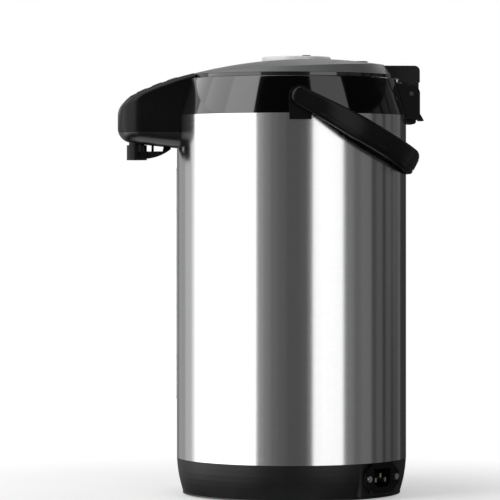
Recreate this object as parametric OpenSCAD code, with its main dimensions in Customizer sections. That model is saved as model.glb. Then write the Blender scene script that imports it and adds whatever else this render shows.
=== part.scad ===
// Electric thermo pot with pump lid, beak spout, bail handle and turntable.
// Millimetres. Z is the pot's axis, z = 0 the table, -X the spout, +X the lid hinge.

/* [Body] */
// Distance from the inner pot's wall to the outside of the steel sleeve
jacket = 21.7; // [18:0.1:26]
// Sheet thickness of the steel sleeve
shell_wall = 0.8; // [0.6:0.1:1.2]
// Height of the steel sleeve
shell_h = 316.5; // [290:0.5:340]
// Height of the sleeve's lower edge above the table
shell_z = 34; // [32:0.5:40]
// Thickness of the moulded walls
wall = 2.5; // [2:0.1:3]

/* [Base and turntable] */
// Taper of the base from the sleeve to its lower edge, on each side
base_taper = 5.7; // [4:0.1:8]
// Height of the base's lower edge above the table
base_z = 2.6; // [2.4:0.1:3.2]
// Width by which the turntable stands out past the base's lower edge
turntable_lip = 0.2; // [0.1:0.1:0.6]
// Thickness of the turntable's plate
turntable_t = 1.3; // [1:0.1:1.4]
// Diameter of the turntable's hub
hub_d = 24; // [18:1:30]
// Diameter of a foot pad
pad_d = 16; // [12:1:20]
// Distance from the turntable's edge to the middle of a foot pad
pad_inset = 19; // [16:0.5:24]

/* [Shoulder collar] */
// Height of the collar's cone
collar_h = 34; // [30:0.5:40]
// Taper of the cone from the sleeve to the top, on each side
collar_taper = 9.5; // [7:0.5:11]
// Overhang of the cone's lower edge past the sleeve
collar_lip = 0.5; // [0.3:0.1:1]
// Clearance of the throat round the inner pot's wall
throat_gap = 3.2; // [2.6:0.1:3.6]

/* [Beak] */
// Length of the beak past the sleeve
beak_length = 54.9; // [50:0.1:62]
// Width of the beak
beak_w = 50; // [46:1:56]
// Depth of the beak's underside at the front, below the collar's lower edge
beak_depth = 24.5; // [21.5:0.5:27.5]
// Height of the beak's lower cover, up to its joint
beak_cover_h = 9; // [7:0.5:11]
// Drop of the underside from the front to the sleeve
beak_floor_drop = 5.5; // [3:0.5:7]
// Radius of the beak's crown line in side view
beak_crown_r = 265; // [220:5:320]
// Outer diameter of the nozzle
nozzle_d = 18.6; // [16:0.2:20]
// Bore of the nozzle
nozzle_bore_d = 9; // [7:0.5:10]
// Distance from the beak's tip to the nozzle
nozzle_inset = 17.7; // [16:0.1:20]
// Drop of the nozzle's mouth below the beak's underside
nozzle_drop = 16.8; // [14:0.2:20]

/* [Lid] */
// Step from the collar's top edge in to the lid's cover
lid_inset = 3.7; // [3.2:0.1:4.2]
// Height of the lid's black rim
lid_rim_h = 3.5; // [3:0.1:5]
// Fall of the cover's dome from its crown to the edge over the spout
dome_fall = 14.2; // [12.8:0.1:16]
// Offset of the dome's crown toward the hinge
dome_x = 17; // [0:1:25]
// Height of the dome's crown above the cover's lower edge
dome_h = 15.2; // [14:0.2:17]
// Slope of the cover's bevelled edge, outward run per unit of height
bevel_slope = 0.75; // [0.4:0.05:1]
// Diameter of the pump's push plate
plate_d = 64; // [56:1:70]
// Offset of the push plate toward the hinge
plate_x = 4.5; // [0:0.5:8]
// Height of the push plate above the cover's crown
plate_proud = 1.8; // [1:0.1:3]
// Stroke of the push plate
plate_stroke = 16; // [10:0.5:16.5]

/* [Lid hinge] */
// Distance of the lid's hinge pin past the sleeve
hinge_out = 3.5; // [3:0.5:5.5]
// Height of the hinge pin above the collar's lower edge
hinge_rise = 20.5; // [19:0.5:22]
// Diameter of the hinge pin
hinge_pin_d = 4; // [3:0.5:5]
// Outer radius of the hinge knuckles
knuckle_r = 8; // [7:0.25:8.5]
// Width of the hinge block
hinge_w = 40; // [36:1:44]
// Width of the lid's knuckle
knuckle_w = 22; // [18:1:24]
// Thickness of the lid's rear tab, above the knuckles
tab_h = 15.5; // [13:0.5:17]

/* [Bail handle] */
// Height of the bail's pivots above the collar's lower edge
bail_rise = 14.8; // [13:0.2:17]
// Distance of the outer faces of the bail's arms past the sleeve
bail_out = 12.5; // [11:0.5:15]
// Thickness of the bail's arms
bail_t = 7.5; // [6:0.25:8]
// Thickness of the bail at its apex
bail_apex_t = 4.6; // [4:0.1:5]
// Distance of the bail's apex past the sleeve
bail_bow = 24.5; // [24:0.5:32]
// Width of the bail's band
bail_band = 22; // [18:1:24]
// Width of the bail at its pivots
bail_eye = 16.4; // [14:0.2:18]
// Angle at which the bail hangs below the horizontal
bail_rest = 28; // [24:1:30]
// Diameter of the bail's pivot pins
bail_pin_d = 8; // [6:0.5:9]
// Width of the ear that carries a pivot
ear_w = 20; // [18:1:24]

/* [Power inlet] */
// Angle of the inlet from the hinge side, about the axis
inlet_turn = -43; // [-60:1:-30]
// Width of the inlet's flange
inlet_w = 50; // [48:0.5:52]
// Height of the inlet's flange
inlet_h = 27; // [26:0.5:27.5]
// Pitch of the inlet's two screws
inlet_pitch = 40; // [38:0.5:41]

/* [Water vessel] */
// Outer diameter of the inner pot
pot_d = 169.6; // [160:0.2:171]
// Sheet thickness of the inner pot
pot_wall = 0.8; // [0.6:0.1:1]
// Height of the inner pot's bottom above the table
pot_z = 82; // [78:1:95]
// Outer diameter of the gauge tube
gauge_d = 11; // [9:0.5:12]
// Width of the gauge window
window_w = 16; // [12:1:20]
// Height of the gauge window
window_h = 214; // [180:1:225]

/* [Fits] */
// Clearance between moulded parts that lie against each other
seat = 0.15; // [0.05:0.05:0.3]
// Clearance between parts that slide past each other
slide_gap = 0.4; // [0.3:0.05:0.6]
// Radial clearance of a pin or shaft in its bore
run_fit = 0.05; // [0.03:0.01:0.1]

/* [Hidden] */
$fn = 96;

// Cut-through allowance, so that no cut ends on a face
eps = 0.01;
big = 500;

pot_r = pot_d / 2;
shell_r = pot_r + jacket;
shell_in_r = shell_r - shell_wall;
collar_z = shell_z + shell_h;
collar_top_z = collar_z + collar_h;
collar_r = shell_r + collar_lip;
collar_top_r = shell_r - collar_taper;
throat_r = pot_r + throat_gap;
lid_r = collar_top_r - lid_inset;
base_r = shell_r - base_taper;
throat_top_r = throat_r + 4.2;
throat_wall = 2.4;
shelf_z = collar_top_z - 18;
beak_reach = shell_r + beak_length;
nozzle_x = beak_reach - nozzle_inset;
hinge_x = shell_r + hinge_out;
bail_w = 2 * (shell_r + bail_out);
bail_reach = shell_r + bail_bow;
beak_floor_z = collar_z - beak_depth;
beak_split_z = beak_floor_z + beak_cover_h;
nozzle_z = beak_floor_z - nozzle_drop;
// Cutting forms for the head reach from low_z to high_z, and to far_x past the beak
low_z = nozzle_z - 10;
high_z = collar_top_z + 50;
far_x = beak_reach + 40;

// --- shared shapes ---

// Points of an arc in a plane, from angle a0 to a1
function arc(cx, cy, r, a0, a1, n) =
    [for (i = [0:n]) let (a = a0 + (a1 - a0) * i / n) [cx + r * cos(a), cy + r * sin(a)]];

// Outer radius of the collar's cone at a height
function cone_r(z) = collar_r + (collar_top_r - collar_r) * (z - collar_z) / collar_h;

// Ring of inner radius r0 and outer radius r1, from height z0 to z1
module ring(r0, r1, z0, z1) {
    rotate_extrude() translate([r0, z0]) square([r1 - r0, z1 - z0]);
}

// Disc from height z0 to z1
module disc(r, z0, z1) {
    translate([0, 0, z0]) cylinder(r = r, h = z1 - z0);
}

// Block given by its corners
module block(lo, hi) {
    translate(lo) cube(hi - lo);
}

// Straight prism of a side profile (x, z), centred on the XZ plane
module side_prism(w) {
    rotate([90, 0, 0]) linear_extrude(height = w, center = true) children();
}

// Cylinder along Y, centred on the XZ plane
module y_rod(r, w, x, z) {
    translate([x, 0, z]) rotate([90, 0, 0]) cylinder(r = r, h = w, center = true);
}

screw_d = 3;
screw_head_d = 5.6;
screw_head_h = 1.6;
screw_bore_r = screw_d / 2 + run_fit;

// Pan-head screw with its head's seat at the origin, shank down -Z
module screw(d, l, head_d, head_h) {
    translate([0, 0, -l]) cylinder(d = d, h = l, $fn = 24);
    difference() {
        cylinder(d = head_d, h = head_h, $fn = 32);
        for (a = [0, 90]) rotate([0, 0, a])
            translate([-head_d / 2.8, -0.3, head_h / 2]) cube([head_d / 1.4, 0.6, head_h]);
    }
}

// --- turntable and base ---

pad_t = 2;
pad_sink = 0.8;
table_z = pad_t - pad_sink;
plate_z = base_z + 2;
plate_t = 2.2;
hub_r = hub_d / 2;
rim_r = base_r + turntable_lip;
pad_ring_r = rim_r - pad_inset;
hub_top_z = plate_z + plate_t + 8;
spigot_h = 9;
washer_t = 1.5;
shoulder_z = shell_z;
ledge_r = base_r - wall - 6;
pillar_r = base_r - 22.8;

module foot_pads() {
    color("dimgray") {
        for (a = [45:90:315]) rotate([0, 0, a]) translate([pad_ring_r, 0, 0])
            cylinder(d = pad_d, h = pad_t);
        cylinder(d = pad_d + 6, h = pad_t);
    }
}

module turntable() {
    track_r = 66;
    color("#26262a") difference() {
        union() {
            disc(rim_r, table_z, table_z + turntable_t);
            ring(track_r, track_r + 5, table_z, plate_z - 0.3);
            ring(rim_r - 14, rim_r - 10, table_z, plate_z - 0.5);
            disc(hub_r, table_z, hub_top_z);
        }
        for (a = [45:90:315]) rotate([0, 0, a]) translate([pad_ring_r, 0, -eps])
            cylinder(d = pad_d + 2 * seat, h = pad_t + eps);
        translate([0, 0, -eps]) cylinder(d = pad_d + 6 + 2 * seat, h = pad_t + eps);
        translate([0, 0, pad_t + 2]) cylinder(r = hub_r - 3, h = 4.5);
        translate([0, 0, hub_top_z - 10]) cylinder(d = 4 + 2 * run_fit, h = 11);
    }
}

module swivel_washer() {
    color("silver") {
        difference() {
            disc(hub_r + 5, hub_top_z, hub_top_z + washer_t);
            disc(2 + 0.3, hub_top_z - 1, hub_top_z + 3);
        }
        translate([0, 0, hub_top_z + washer_t]) screw(4, 7, 8, 2.4);
    }
}

// Outline of the base's wall: a slow curve that draws in toward the table
base_bulge = 1.1;
function base_edge(inset) = [for (i = [0:6]) let (t = i / 6)
    [base_r + (shell_r - base_r) * t + base_bulge * sin(180 * t) - inset,
     base_z + (shoulder_z - base_z) * t]];

module base_shell() {
    color("#1b1b1d") difference() {
        union() {
            rotate_extrude() difference() {
                polygon(concat(base_edge(0), [[0, shoulder_z], [0, base_z]]));
                polygon(concat(base_edge(wall), [[0, shoulder_z + 1], [0, base_z - 1]]));
            }
            ring(shell_in_r - 6, shell_r - wall, shoulder_z - 2.5, shoulder_z);
            ring(shell_in_r - seat - wall, shell_in_r - seat, shoulder_z - 2.5, shoulder_z + spigot_h);
            ring(ledge_r, base_r - 1, plate_z + plate_t + 0.1, plate_z + plate_t + 3);
            for (a = base_screw_angles) rotate([0, 0, a]) translate([pillar_r, 0, plate_z + plate_t + 0.1])
                cylinder(r = 4, h = 14);
            for (a = base_screw_angles) rotate([0, 0, a])
                block([pillar_r + 2, -1.2, plate_z + plate_t + 0.1],
                    [shell_in_r - 5, 1.2, plate_z + plate_t + 12]);
            intersection() {
                at_inlet() block([inlet_back - 9, -inlet_w / 2 - 3, base_z + 1],
                                 [inlet_back, inlet_w / 2 + 3, shoulder_z - 0.5]);
                disc(shell_r - 0.3, base_z, shoulder_z);
            }
        }
        at_inlet() block([inlet_back, -inlet_w / 2 - 2, -1],
            [inlet_back + 20, inlet_w / 2 + 2, shoulder_z - 0.4]);
        at_inlet() block([inlet_back - 30, -socket_w / 2 - seat, inlet_mid_z - socket_h / 2 - seat],
                         [inlet_back + 5, socket_w / 2 + seat, inlet_mid_z + socket_h / 2 + seat]);
        at_inlet() for (s = [-1, 1]) translate([inlet_back - 12, s * inlet_pitch / 2, inlet_mid_z])
            rotate([0, 90, 0]) cylinder(r = screw_bore_r, h = 20);
        for (a = base_screw_angles) rotate([0, 0, a]) translate([pillar_r, 0, 0])
            cylinder(r = screw_bore_r, h = 18);
    }
}

base_screw_angles = [20, 110, 200, 270];

module base_plate() {
    color("#222226") difference() {
        union() {
            disc(base_r - wall - 1.2, plate_z, plate_z + plate_t);
            disc(hub_r + 4, plate_z, hub_top_z - 0.3);
            for (a = [0:45:315]) rotate([0, 0, a + 22.5])
                block([hub_r + 3, -0.8, plate_z], [pillar_r - 18, 0.8, plate_z + plate_t + 2]);
        }
        disc(hub_r + run_fit, 0, hub_top_z + 1);
        at_inlet() block([inlet_back - 9.3, -inlet_w / 2 - 3.3, 0],
            [inlet_face + 20, inlet_w / 2 + 3.3, shoulder_z]);
        for (a = base_screw_angles) rotate([0, 0, a]) translate([pillar_r, 0, 0]) {
            cylinder(r = 1.9, h = 18);
            cylinder(r = 3.4, h = plate_z + 1.2);
        }
        for (a = [60:8:100]) rotate([0, 0, a]) translate([pillar_r - 30, 0, 0])
            cylinder(r = 1.6, h = 12, $fn = 24);
    }
}

module base_screws() {
    color("silver") for (a = base_screw_angles) rotate([0, 0, a])
        translate([pillar_r, 0, plate_z + 1.2]) rotate([180, 0, 0]) screw(screw_d, 9, 6, 1.1);
}

module steel_shell() {
    color("#c8c8c8") difference() {
        ring(shell_in_r, shell_r, shell_z, collar_z);
        block([-shell_r - 2, -window_w / 2, window_z], [0, window_w / 2, window_z + window_h]);
    }
}

window_z = 88;

module gauge_window() {
    gap = seat;
    color("#9fb4bf") intersection() {
        union() {
            ring(shell_in_r - 1.6, shell_r + 0.4, window_z + gap, window_z + window_h - gap);
            ring(shell_in_r - 1.6, shell_in_r - 0.1, window_z - 5, window_z + window_h + 5);
        }
        union() {
            block([-shell_r - 2, -window_w / 2 + gap, window_z + gap],
                  [0, window_w / 2 - gap, window_z + window_h - gap]);
            difference() {
                block([-shell_r - 2, -window_w / 2 - 5, window_z - 5],
                      [0, window_w / 2 + 5, window_z + window_h + 5]);
                ring(shell_in_r - 0.1, shell_r + 5, 0, big);
            }
        }
    }
}

// --- power inlet, drawn on its own flat and turned into place ---

inlet_face = shell_r - 1.9;
inlet_back = inlet_face - 1.6;
inlet_mid_z = base_z + (shell_z - base_z) / 2 + 1.6;
socket_w = 31;
socket_h = 24;
socket_depth = 22;
recess_w = 24.2;
recess_h = 16.6;
recess_depth = 16;
flange_t = 3;

module at_inlet() {
    rotate([0, 0, inlet_turn]) children();
}

// Flange outline, with its four corners cut toward the screws
module inlet_backline(w, h, cut) {
    polygon([[-w / 2, -h / 2 + cut], [-w / 2 + cut * 1.3, -h / 2], [w / 2 - cut * 1.3, -h / 2],
             [w / 2, -h / 2 + cut], [w / 2, h / 2 - cut], [w / 2 - cut * 1.3, h / 2],
             [-w / 2 + cut * 1.3, h / 2], [-w / 2, h / 2 - cut]]);
}

// Mouth of the socket, with the two lower corners cut
module inlet_mouth(w, h) {
    polygon([[-w / 2, h / 2], [w / 2, h / 2], [w / 2, -h / 2 + 4.6], [w / 2 - 4.6, -h / 2],
             [-w / 2 + 4.6, -h / 2], [-w / 2, -h / 2 + 4.6]]);
}

// Prism along the inlet's outward direction, its outer end at x1
module inlet_prism(x0, x1) {
    translate([x0, 0, inlet_mid_z]) rotate([90, 0, 90]) linear_extrude(height = x1 - x0) children();
}

module inlet_socket() {
    back = inlet_back;
    color("#151517") at_inlet() difference() {
        union() {
            inlet_prism(back, back + flange_t) inlet_backline(inlet_w, inlet_h - 2 * 0.1, 8);
            inlet_prism(back - socket_depth, back + eps) square([socket_w, socket_h], center = true);
        }
        inlet_prism(back + flange_t - recess_depth, back + flange_t + 1) inlet_mouth(recess_w, recess_h);
        for (s = [-1, 1]) translate([back - 5, s * inlet_pitch / 2, inlet_mid_z]) rotate([0, 90, 0])
            cylinder(r = 1.7, h = 20);
        for (p = pin_places) inlet_prism(back - socket_depth - 1, back + flange_t - recess_depth + 1)
            translate(p) square([pin_t + 0.1, pin_w + 0.1], center = true);
    }
}

pin_w = 4;
pin_t = 2;
pin_places = [[-7, -2], [0, 2], [7, -2]];

module inlet_pins() {
    back = inlet_back;
    color("gold") at_inlet() for (p = pin_places)
        inlet_prism(back - socket_depth - 6, back + flange_t - 2) translate(p)
            square([pin_t, pin_w], center = true);
}

module inlet_screws() {
    color("silver") at_inlet() for (s = [-1, 1])
        translate([inlet_back + flange_t, s * inlet_pitch / 2, inlet_mid_z])
            rotate([0, 90, 0]) screw(screw_d, 10, screw_head_d, screw_head_h);
}

// --- collar and beak ---

beak_root_z = collar_top_z + 4.5;
beak_root_x = -lid_r;
beak_brow_z = beak_root_z - 21.8;
beak_brow_x = beak_root_x - 58.4;
// Inner end of the beak's form, inside the ring
heel_x = 36.5 - shell_r;
nose_r = 16;
chin_r = 13;
belly_r = 12;

// Centre of the crown's arc through the root and the brow
crown_mid = [(beak_root_x + beak_brow_x) / 2, (beak_root_z + beak_brow_z) / 2];
crown_half = norm([beak_brow_x - beak_root_x, beak_brow_z - beak_root_z]) / 2;
crown_dir = [beak_root_z - beak_brow_z, beak_brow_x - beak_root_x] / (2 * crown_half);
crown_c = crown_mid + crown_dir * sqrt(beak_crown_r * beak_crown_r - crown_half * crown_half);

function crown_z(x) = crown_c[1] + sqrt(beak_crown_r * beak_crown_r - (x - crown_c[0]) * (x - crown_c[0]));
function floor_z(x) = beak_floor_z - beak_floor_drop * (x + beak_reach) / (beak_reach - shell_r);

// Side view of the beak, drawn in by an inset
module beak_side(inset) {
    hull() {
        polygon(concat(
            [for (i = [0:8]) let (x = heel_x + (beak_brow_x - heel_x) * i / 8) [x, crown_z(x) - inset]],
            [[-beak_reach + 22, floor_z(-beak_reach + 22) + inset], [heel_x, floor_z(heel_x) + inset]]));
        translate([-beak_reach + nose_r, collar_z]) circle(r = nose_r - inset, $fn = 64);
        translate([-beak_reach + chin_r, floor_z(-beak_reach) + chin_r + 0.8])
            circle(r = chin_r - inset, $fn = 64);
    }
}

// Plan of the beak: parallel sides, rounded front corners
module beak_plan(inset) {
    front_r = 18;
    hull() {
        for (s = [-1, 1]) translate([-beak_reach + front_r, s * (beak_w / 2 - front_r)])
            circle(r = front_r - inset, $fn = 64);
        translate([-beak_reach + 6 + inset, -4]) square([10, 8]);
        translate([heel_x, -beak_w / 2 + inset]) square([1, beak_w - 2 * inset]);
    }
}

// Front view of the beak: a rounded belly below, soft shoulders above
module beak_front(inset) {
    top_r = 7;
    hull() {
        for (s = [-1, 1]) {
            translate([s * (beak_w / 2 - belly_r), floor_z(-shell_r) + belly_r])
                circle(r = belly_r - inset, $fn = 48);
            translate([s * (beak_w / 2 - top_r), beak_root_z + 20]) circle(r = top_r - inset / 2, $fn = 32);
        }
    }
}

module beak_form(inset) {
    intersection() {
        side_prism(beak_w + 20) beak_side(inset);
        translate([0, 0, low_z]) linear_extrude(height = high_z - low_z) beak_plan(inset);
        translate([-far_x, 0, 0]) rotate([90, 0, 90]) linear_extrude(height = far_x + heel_x + 10)
            beak_front(inset);
    }
}

// Depth of the collar's spigot in the sleeve
skirt_drop = 10;
panel_t = 1.6;
panel_w = 36;
panel_l = 50;
panel_x0 = 11.4 - beak_reach;
panel_x1 = panel_x0 + panel_l;

// The crown's skin between two depths, over the control panel's patch
module crown_patch(d0, d1, grow) {
    intersection() {
        side_prism(panel_w + 2 * grow) difference() {
            translate(crown_c) circle(r = beak_crown_r - d0, $fn = 240);
            translate(crown_c) circle(r = beak_crown_r - d1, $fn = 240);
        }
        block([panel_x0 - grow, -beak_w, beak_split_z + 5], [panel_x1 + grow, beak_w, high_z]);
    }
}

// Angle of the crown's slope at a place, below the horizontal toward the spout
function crown_tilt(x) = -asin((x - crown_c[0]) / beak_crown_r);

button_r = 5;
button_x = [panel_x1 - 11, panel_x1 - 25, panel_x1 - 39];
button_travel = 0.8;
button_drop = 5.2;
lens_r = 1.5;
lens_out = 12;

module at_button(i) {
    translate([button_x[i], 0, crown_z(button_x[i])]) rotate([0, -crown_tilt(button_x[i]), 0]) children();
}

module collar() {
    color("#101012") difference() {
        union() {
            rotate_extrude() polygon([[collar_r, collar_z], [collar_top_r, collar_top_z],
                [throat_top_r, collar_top_z], [throat_r, shelf_z], [pot_r + 0.4, shelf_z],
                [pot_r + 0.4, collar_z - 2], [shell_in_r - seat, collar_z - 2],
                    [shell_in_r - seat, collar_z]]);
            ring(shell_in_r - seat - wall, shell_in_r - seat, collar_z - skirt_drop, collar_z);
            difference() {
                intersection() {
                    beak_form(0);
                    block([-far_x, -beak_w, beak_split_z], [0, beak_w, high_z]);
                }
                disc(lid_r + slide_gap, collar_top_z, high_z);
                disc(throat_top_r + 1, low_z, high_z);
            }
        }
        // hollow of the ring, between the cone and the throat
        rotate_extrude() polygon([[throat_r + throat_wall, collar_z - 12],
            [throat_r + throat_wall, shelf_z], [throat_top_r + throat_wall - 1, collar_top_z - wall - 3],
            [collar_top_r - wall - 0.4, collar_top_z - wall - 3], [collar_r - wall - 0.6, collar_z + 1],
            [collar_r - wall - 0.6 - 1.5, collar_z - 12]]);
        // hollow of the beak, kept off the sleeve and open into the ring
        difference() {
            beak_form(wall);
            disc(shell_r + seat + wall, low_z, collar_z + 2);
            disc(throat_r + throat_wall, low_z, high_z);
            disc(collar_top_r - 0.5, collar_top_z - wall - 3, high_z);
        }
        // place of the sleeve and of the panel
        disc(shell_r + seat, low_z, collar_z);
        crown_patch(-4, panel_t + 0.05, seat);
        crown_patch(0, 20, -4);
        for (s = [-1, 1]) y_pin_bore(s);
        for (p = bracket_screw_places) translate([hinge_x - 50, p[0], p[1]]) rotate([0, 90, 0])
            cylinder(r = screw_bore_r, h = 60);
        // bolt of the lid's latch
        block([-throat_top_r - 0.6, -bolt_w / 2 - 0.5, latch_z - 0.6],
            [-throat_r + 2, bolt_w / 2 + 0.5, latch_z + 3]);
    }
}

module control_panel() {
    color("#2a2c30") difference() {
        crown_patch(0, panel_t, 0);
        for (i = [0:2]) at_button(i) translate([0, 0, -10]) cylinder(r = button_r + slide_gap, h = 20);
        for (i = [0:2], s = [-1, 1]) at_button(i) translate([0, s * lens_out, -10])
            cylinder(r = lens_r + run_fit, h = 20);
    }
}

module panel_lenses() {
    color("#d25c32") for (i = [0:2], s = [-1, 1]) at_button(i) translate([0, s * lens_out, -4.4])
        cylinder(r = lens_r, h = 4.5);
}

// Board of the keys: its width and thickness, and its depth below the crown
board_w = 28;
board_t = 1.4;
board_drop = 6.9;

module control_board() {
    a = crown_tilt(button_x[1]);
    color("#1d5b34") translate([button_x[1], 0, crown_z(button_x[1])]) rotate([0, -a, 0]) {
        block([-16, -board_w / 2, -board_drop - board_t], [18, board_w / 2, -board_drop]);
        for (s = [-1, 1]) block([-10, s * 11 - 2, -board_drop - 2.6],
            [10, s * 11 + 2, -board_drop - board_t + 0.1]);
        for (s = [-1, 1], x = [-7, 7]) translate([x, s * 12, 0])
            disc(1.6, -board_drop - 0.1, -panel_t - 0.25);
    }
}

module panel_button(i, tint) {
    color(tint) at_button(i) difference() {
        union() {
            disc(button_r, -button_drop, button_travel);
            disc(button_r + 1.4, -button_drop, 1.6 - button_drop);
        }
        translate([0, 0, button_travel + 14.6]) sphere(r = 15, $fn = 96);
    }
}

module dispense_button() { panel_button(0, "#3a3d42"); }
module unlock_button() { panel_button(1, "#3a3d42"); }
module reboil_button() { panel_button(2, "#3a3d42"); }

nozzle_r = nozzle_d / 2;
nozzle_bore_r = nozzle_bore_d / 2;
nozzle_seat_z = floor_z(-nozzle_x) + wall;
// Lever's pivot, and the post on it that works the switch
lever_x = -shell_r - 7.5;
lever_pivot_z = beak_floor_z + 4;
plunger_x = lever_x - 15.1;
lever_pin_r = 1.5;
lever_w = 26;

module beak_cover() {
    color("#131315") difference() {
        intersection() {
            beak_form(0);
            block([-far_x, -beak_w, low_z], [0, beak_w, beak_split_z - 0.05]);
        }
        difference() {
            beak_form(wall);
            disc(shell_r + seat + wall, low_z, high_z);
        }
        disc(shell_r + seat, low_z, high_z);
        translate([-nozzle_x, 0, low_z]) cylinder(r = nozzle_r - 2 + seat, h = 60);
        block([plunger_x - 2.5, -2.6, low_z], [plunger_x + 2.7, 2.6, lever_pivot_z + 15]);
        block([lever_x - 9, -lever_slot_w / 2, low_z], [lever_x + 4, lever_slot_w / 2, lever_pivot_z - 4]);
    }
    color("#131315") for (s = [-1, 1]) difference() {
        block([lever_x - 4, s * 11 - 1.5, floor_z(lever_x) + wall - 0.6],
            [-shell_r - 1, s * 11 + 1.5, lever_pivot_z + 4.5]);
        disc(shell_r + seat + 0.2, low_z, high_z);
        y_rod(lever_pin_r + run_fit, 60, lever_x, lever_pivot_z);
    }
}

lever_slot_w = 9;

module nozzle() {
    color("#0e0e10") translate([-nozzle_x, 0, 0]) difference() {
        union() {
            translate([0, 0, nozzle_z]) cylinder(r = nozzle_r, h = floor_z(-nozzle_x) - nozzle_z - 1.2);
            translate([0, 0, nozzle_z]) cylinder(r = nozzle_r - 2, h = nozzle_seat_z + 7 - nozzle_z);
        }
        translate([0, 0, nozzle_z - 1]) cylinder(r = nozzle_bore_r, h = 60);
    }
}

elbow_r = 5.5;
elbow_bore = 3.5;
elbow_z = collar_z + 9.5;
elbow_bend = 9;
elbow_foot_z = nozzle_seat_z + 7.2;
gauge_x = -(pot_r + shell_in_r) / 2 - 0.8;

module outlet_elbow() {
    crest_z = elbow_z - elbow_bend;
    color("#d8d4c8") {
        translate([-nozzle_x, 0, 0]) ring(elbow_bore, elbow_r, elbow_foot_z, crest_z);
        translate([-nozzle_x, 0, 0]) ring(elbow_r - 0.5, nozzle_r - 2.4, elbow_foot_z, elbow_foot_z + 2.4);
        elbow_bend_at(-nozzle_x + elbow_bend, crest_z, 90);
        translate([-nozzle_x + elbow_bend, 0, elbow_z]) rotate([0, 90, 0])
            ring(elbow_bore, elbow_r, 0, nozzle_x - elbow_bend + gauge_x - elbow_bend);
        elbow_bend_at(gauge_x - elbow_bend, crest_z, 0);
        translate([gauge_x, 0, 0]) ring(elbow_bore, elbow_r, gauge_top_z + 0.3, crest_z);
    }
}

// Quarter bend of the pipe about a centre in the XZ plane
module elbow_bend_at(x, z, start) {
    translate([x, 0, z]) rotate([90, 0, 0]) rotate_extrude(angle = 90, start = start)
        translate([elbow_bend, 0]) difference() {
            circle(r = elbow_r, $fn = 48);
            circle(r = elbow_bore, $fn = 48);
        }
}

gauge_top_z = collar_z - 14.5;

module cup_lever() {
    tip_x = -nozzle_x + 3;
    color("#0c0c0e") difference() {
        union() {
            intersection() {
                side_prism(lever_w) difference() {
                    translate([lever_x, lever_pivot_z])
                        polygon(concat([[tip_x - lever_x, -13], [tip_x - lever_x, -18.8]],
                        arc(-23, 19.8, 39.2, 268, 309, 8), [[1.6, -9.4], [-4, -12.6]]));
                }
                translate([0, 0, low_z]) linear_extrude(height = 40) hull() {
                    translate([tip_x, -lever_w / 2]) square([10, lever_w]);
                    translate([lever_x, 0]) circle(r = 5);
                }
            }
            side_prism(lever_slot_w - 2) translate([lever_x, lever_pivot_z])
                polygon([[-6, -13.4], [1.4, -10.4], [3.2, 0], [0, 3.2], [-3.2, 0]]);
            y_rod(3.2, 18, lever_x, lever_pivot_z);
            block([plunger_x - 1.1, -1.6, lever_pivot_z - 16], [plunger_x + 1.1, 1.6, lever_pivot_z]);
        }
        translate([-nozzle_x, 0, low_z]) cylinder(r = nozzle_r + 1.9, h = 35);
        y_rod(lever_pin_r + run_fit, 60, lever_x, lever_pivot_z);
    }
}

module lever_pin() {
    color("silver") y_rod(lever_pin_r, 26, lever_x, lever_pivot_z);
}

module lever_switch() {
    color("#1a1a22") {
        translate([plunger_x, 0, lever_pivot_z]) {
            block([-5.9, -6, 2.6], [6.1, 6, 10]);
            block([-0.9, -1.4, 1.6], [0.7, 1.4, 2.7]);
            for (y = [-6, 4.8]) block([-5.9, y, -4], [6.1, y + 1.2, 3]);
        }
    }
}

// --- lid ---

rim_z = collar_top_z + 0.3;
cover_z = collar_top_z + lid_rim_h;
dome_top_z = cover_z + dome_h;
dome_r = (lid_r + dome_x) * (lid_r + dome_x) / (2 * dome_fall);
// Radii of the steps in the cover's hollow, about the crown
step_mid_r = lid_r - 13.3;
step_in_r = lid_r - 39.3;
hinge_z = collar_z + hinge_rise;
plate_r = plate_d / 2;
plate_top_z = dome_top_z + plate_proud;
plate_thick = 3;
skirt_h = 11;
cup_floor_z = plate_top_z - skirt_h - plate_stroke - 3.5;
latch_z = collar_top_z - 9;
latch_travel = 4;
flange_t_pot = 0.8;
flange_z = shelf_z + 1.4;
pot_top_z = flange_z + flange_t_pot;
seal_z = pot_top_z + 0.1;
seal_h = 3.6;
plug_r = throat_r - 2.6;
lid_screw_r = plug_r - 23.4;
lid_screw_angles = [40, 160, 280];
tab_top_z = hinge_z + knuckle_r + 2.3 + tab_h;

// Space under the cover's outside, drawn in by an inset: a domed disc with a bevelled edge
module cover_form(inset) {
    below = 1;
    intersection() {
        dome_cap(inset);
        translate([0, 0, cover_z]) cylinder(r = lid_r - inset, h = 20, $fn = 400);
        translate([0, 0, cover_z - below]) rotate([0, 0, 37]) cylinder($fn = 400, h = 20 + below,
            r1 = lid_r - inset + below * bevel_slope, r2 = lid_r - inset - 20 * bevel_slope);
    }
}

// Cap of the dome's sphere, centred a little toward the hinge
module dome_cap(inset) {
    steps = 20;
    rim = lid_r + dome_x + 2;
    translate([dome_x, 0, 0]) rotate([0, 0, 70]) rotate_extrude($fn = 400) polygon(concat(
        [[0, cover_z - 6]], [[rim, cover_z - 6]],
        [for (i = [steps:-1:0]) [rim * i / steps, crown_over(rim * i / steps) - inset]]));
}

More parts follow.
